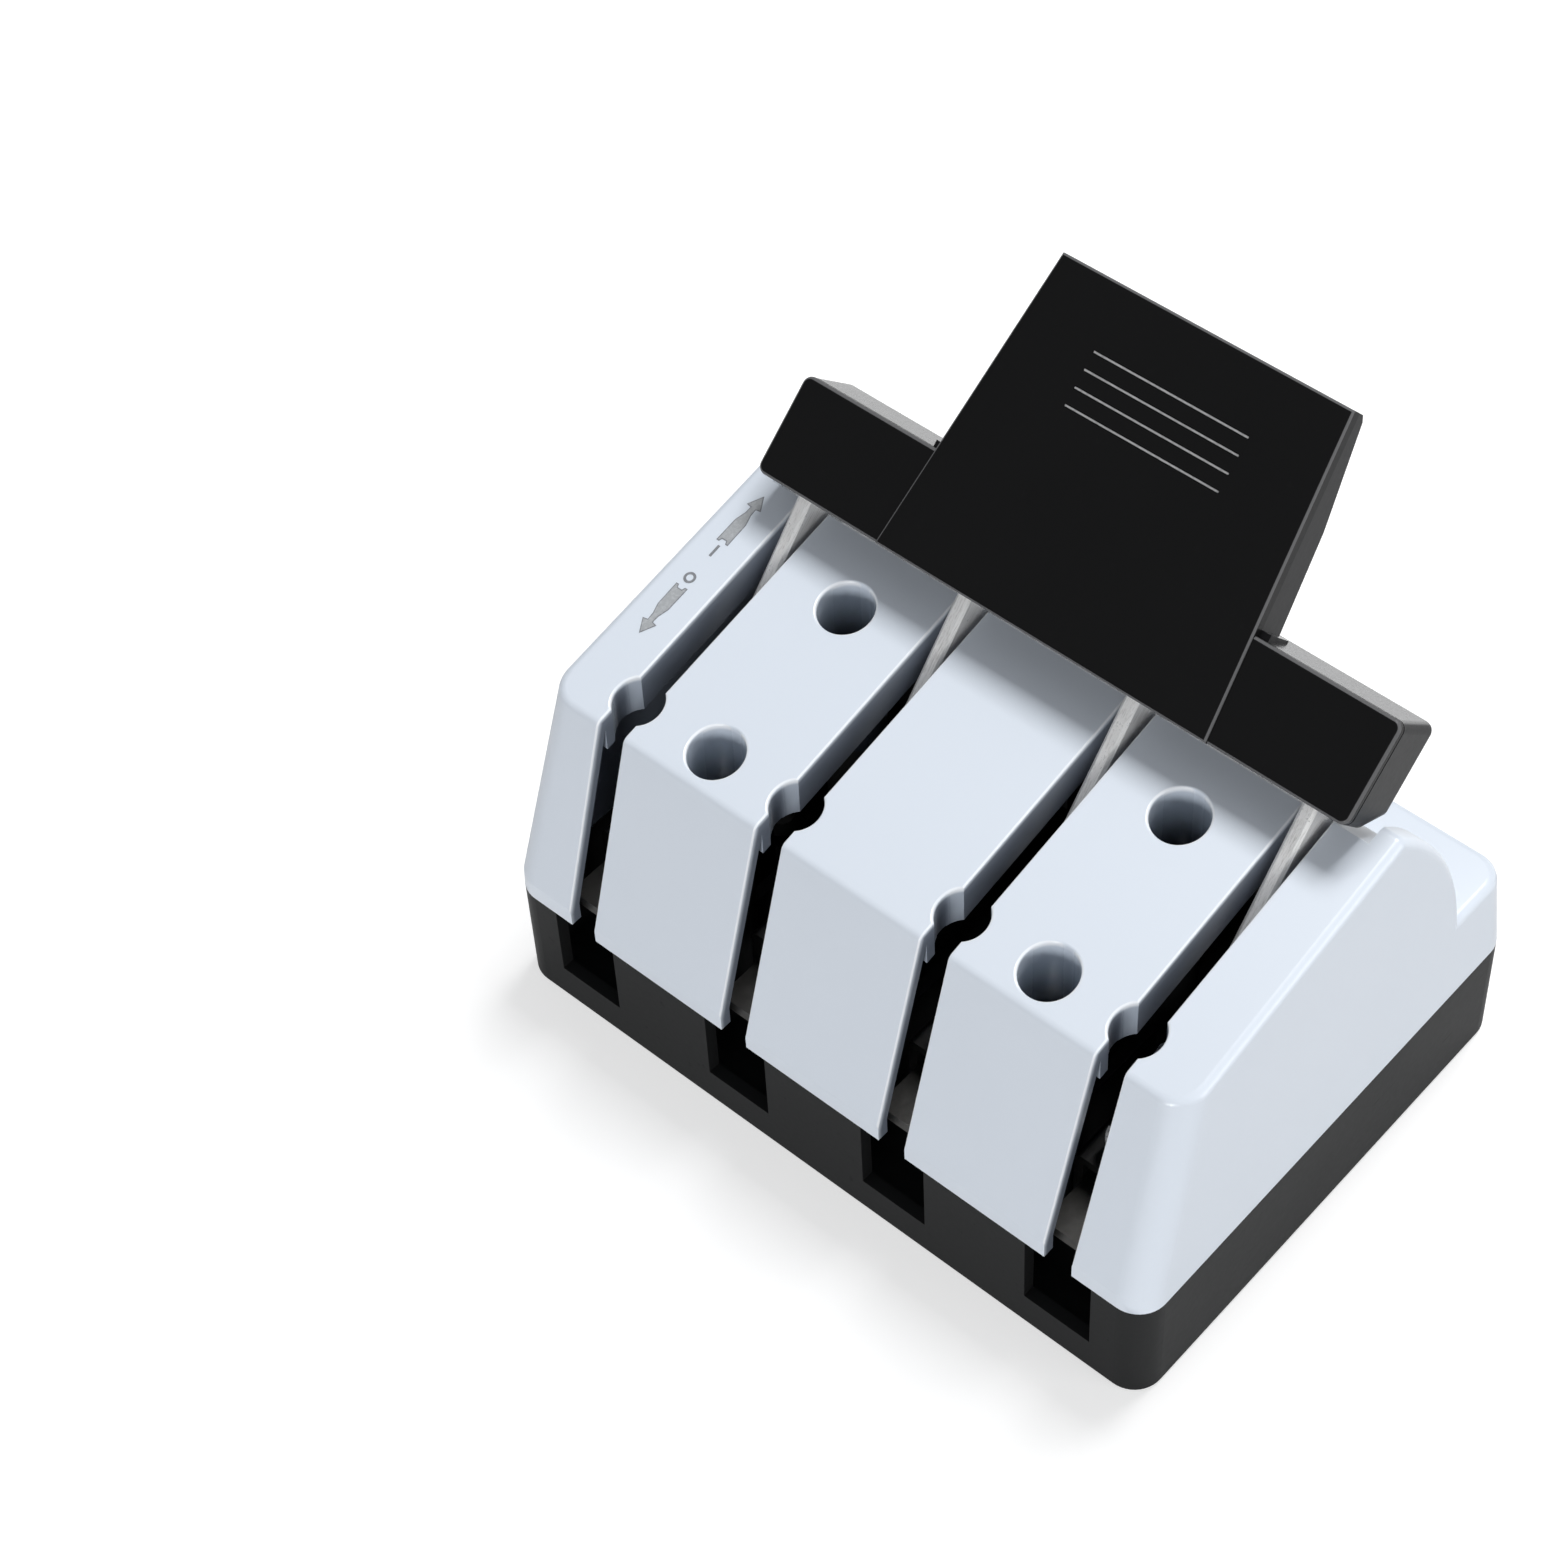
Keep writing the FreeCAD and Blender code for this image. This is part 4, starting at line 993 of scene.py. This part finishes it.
@dataclass
class Studio:
    """A pale floor, a pale surround, three soft lamps and the camera, in metres.

    Attributes:
        floor_half: half the floor's side.
        floor_drop: how far the floor lies under the part.
        floor_colour: the paper's colour.
        floor_glow: how white the camera sees it near the part, on top of the light on it.
        floor_gleam: the share of that glow that gloss and metal mirror.
        floor_fade: how far from the part the glow turns to full white.
        surround: the colour of the light all round.
        surround_level: its strength.
        lamps: the lamps.
        eye: where the camera stands.
        right: the way that the picture's right side points.
        up: the way that its top points.
        lens: the focal length, in millimetres.
        film: the film's width, in millimetres.
        shift: how far the picture is off the lens's middle, as shares of its width.
        sight: how far the camera sees.
    """

    floor_half: float = 4.0
    floor_drop: float = 0.0001
    floor_colour: Colour = (0.55, 0.55, 0.55)
    floor_glow: float = 0.62
    floor_gleam: float = 0.5
    floor_fade: Step = (1.2, 0.6)
    surround: Colour = (0.93, 0.96, 1.0)
    surround_level: float = 0.22
    lamps: tuple[Lamp, ...] = (
        Lamp("overhead_lamp", (0.0, 0.55, 1.3), 0.5, 15.6),
        Lamp("right_lamp", (1.4, 0.25, 0.4), 0.8, 7.0),
        Lamp("front_lamp", (0.5, -1.6, 0.06), 0.6, 23.0))
    eye: Triple = (0.2617, -0.3227, 0.5708)
    right: Triple = (0.749, 0.661, -0.043)
    up: Triple = (-0.487, 0.593, 0.641)
    lens: float = 85.11
    film: float = 36.0
    shift: Point = (-0.0046, -0.0227)
    sight: float = 20.0

    def build(self) -> None:
        """Sets the stage."""
        for lamp in self.lamps:
            lamp.build()
        self._lay_floor()
        self._set_world()
        self._set_camera()
        bpy.context.scene.view_settings.view_transform = "Standard"

    def _lay_floor(self) -> None:
        """Lays the floor, which glows only as the camera and reflections see it."""
        half = self.floor_half
        mesh = bpy.data.meshes.new("floor")
        corners = [(x, y, -self.floor_drop) for x, y in ((-half, -half), (half, -half), (half, half), (-half, half))]
        mesh.from_pydata(corners, [], [(0, 1, 2, 3)])
        bench = Bench(bpy.data.materials.new("floor_paper"))
        seen = bench.node("ShaderNodeLightPath", {}, {}, "Is Camera Ray")
        glossy = bench.node("ShaderNodeLightPath", {}, {}, "Is Glossy Ray")
        paper = bench.node("ShaderNodeBsdfDiffuse", {}, {"Color": (*self.floor_colour, 1.0)})
        place = bench.node("ShaderNodeTexCoord", {}, {}, "Object")
        away = bench.node("ShaderNodeVectorMath", {"operation": "LENGTH"}, {0: place}, "Value")
        far = away.step(*self.floor_fade) * (1 - self.floor_glow)
        level = (glossy * self.floor_gleam + seen).held(0.0, 1.0) * (far + self.floor_glow)
        glow = bench.node("ShaderNodeEmission", {}, {"Color": WHITE, "Strength": level})
        both = bench.node("ShaderNodeAddShader", {}, {0: paper, 1: glow})
        mesh.materials.append(bench.end("ShaderNodeOutputMaterial", both))
        floor = bpy.data.objects.new("floor", mesh)
        bpy.context.scene.collection.objects.link(floor)

    def _set_world(self) -> None:
        """Surrounds the object with pale light, seen as white."""
        bench = Bench(bpy.data.worlds.new("surround"))
        dim = bench.node("ShaderNodeBackground", {}, {"Color": (*self.surround, 1.0), "Strength": self.surround_level})
        white = bench.node("ShaderNodeBackground", {}, {"Color": WHITE})
        seen = bench.node("ShaderNodeLightPath", {}, {}, "Is Camera Ray")
        both = bench.node("ShaderNodeMixShader", {}, {0: seen, 1: dim, 2: white})
        bpy.context.scene.world = bench.end("ShaderNodeOutputWorld", both)

    def _set_camera(self) -> None:
        """Stands the camera where the photograph was taken from."""
        data = bpy.data.cameras.new("camera")
        data.sensor_fit = "HORIZONTAL"
        data.sensor_width = self.film
        data.lens = self.lens
        data.shift_x, data.shift_y = self.shift
        data.clip_end = self.sight
        right = Vector(self.right).normalized()
        back = right.cross(Vector(self.up)).normalized()
        up = back.cross(right)
        camera = bpy.data.objects.new("camera", data)
        rows = Matrix((right, up, back)).transposed().to_4x4()
        camera.matrix_world = Matrix.Translation(self.eye) @ rows
        bpy.context.scene.collection.objects.link(camera)
        bpy.context.scene.camera = camera


def main() -> None:
    """Builds the dressed switch and its studio."""
    logging.basicConfig(level=logging.INFO, format="%(name)s %(message)s")
    Mouldings().dress()
    KeyholeWalls().build()
    DirectionMarks().build()
    GripLines().build()
    Studio().build()


if __name__ == "__main__":
    main()
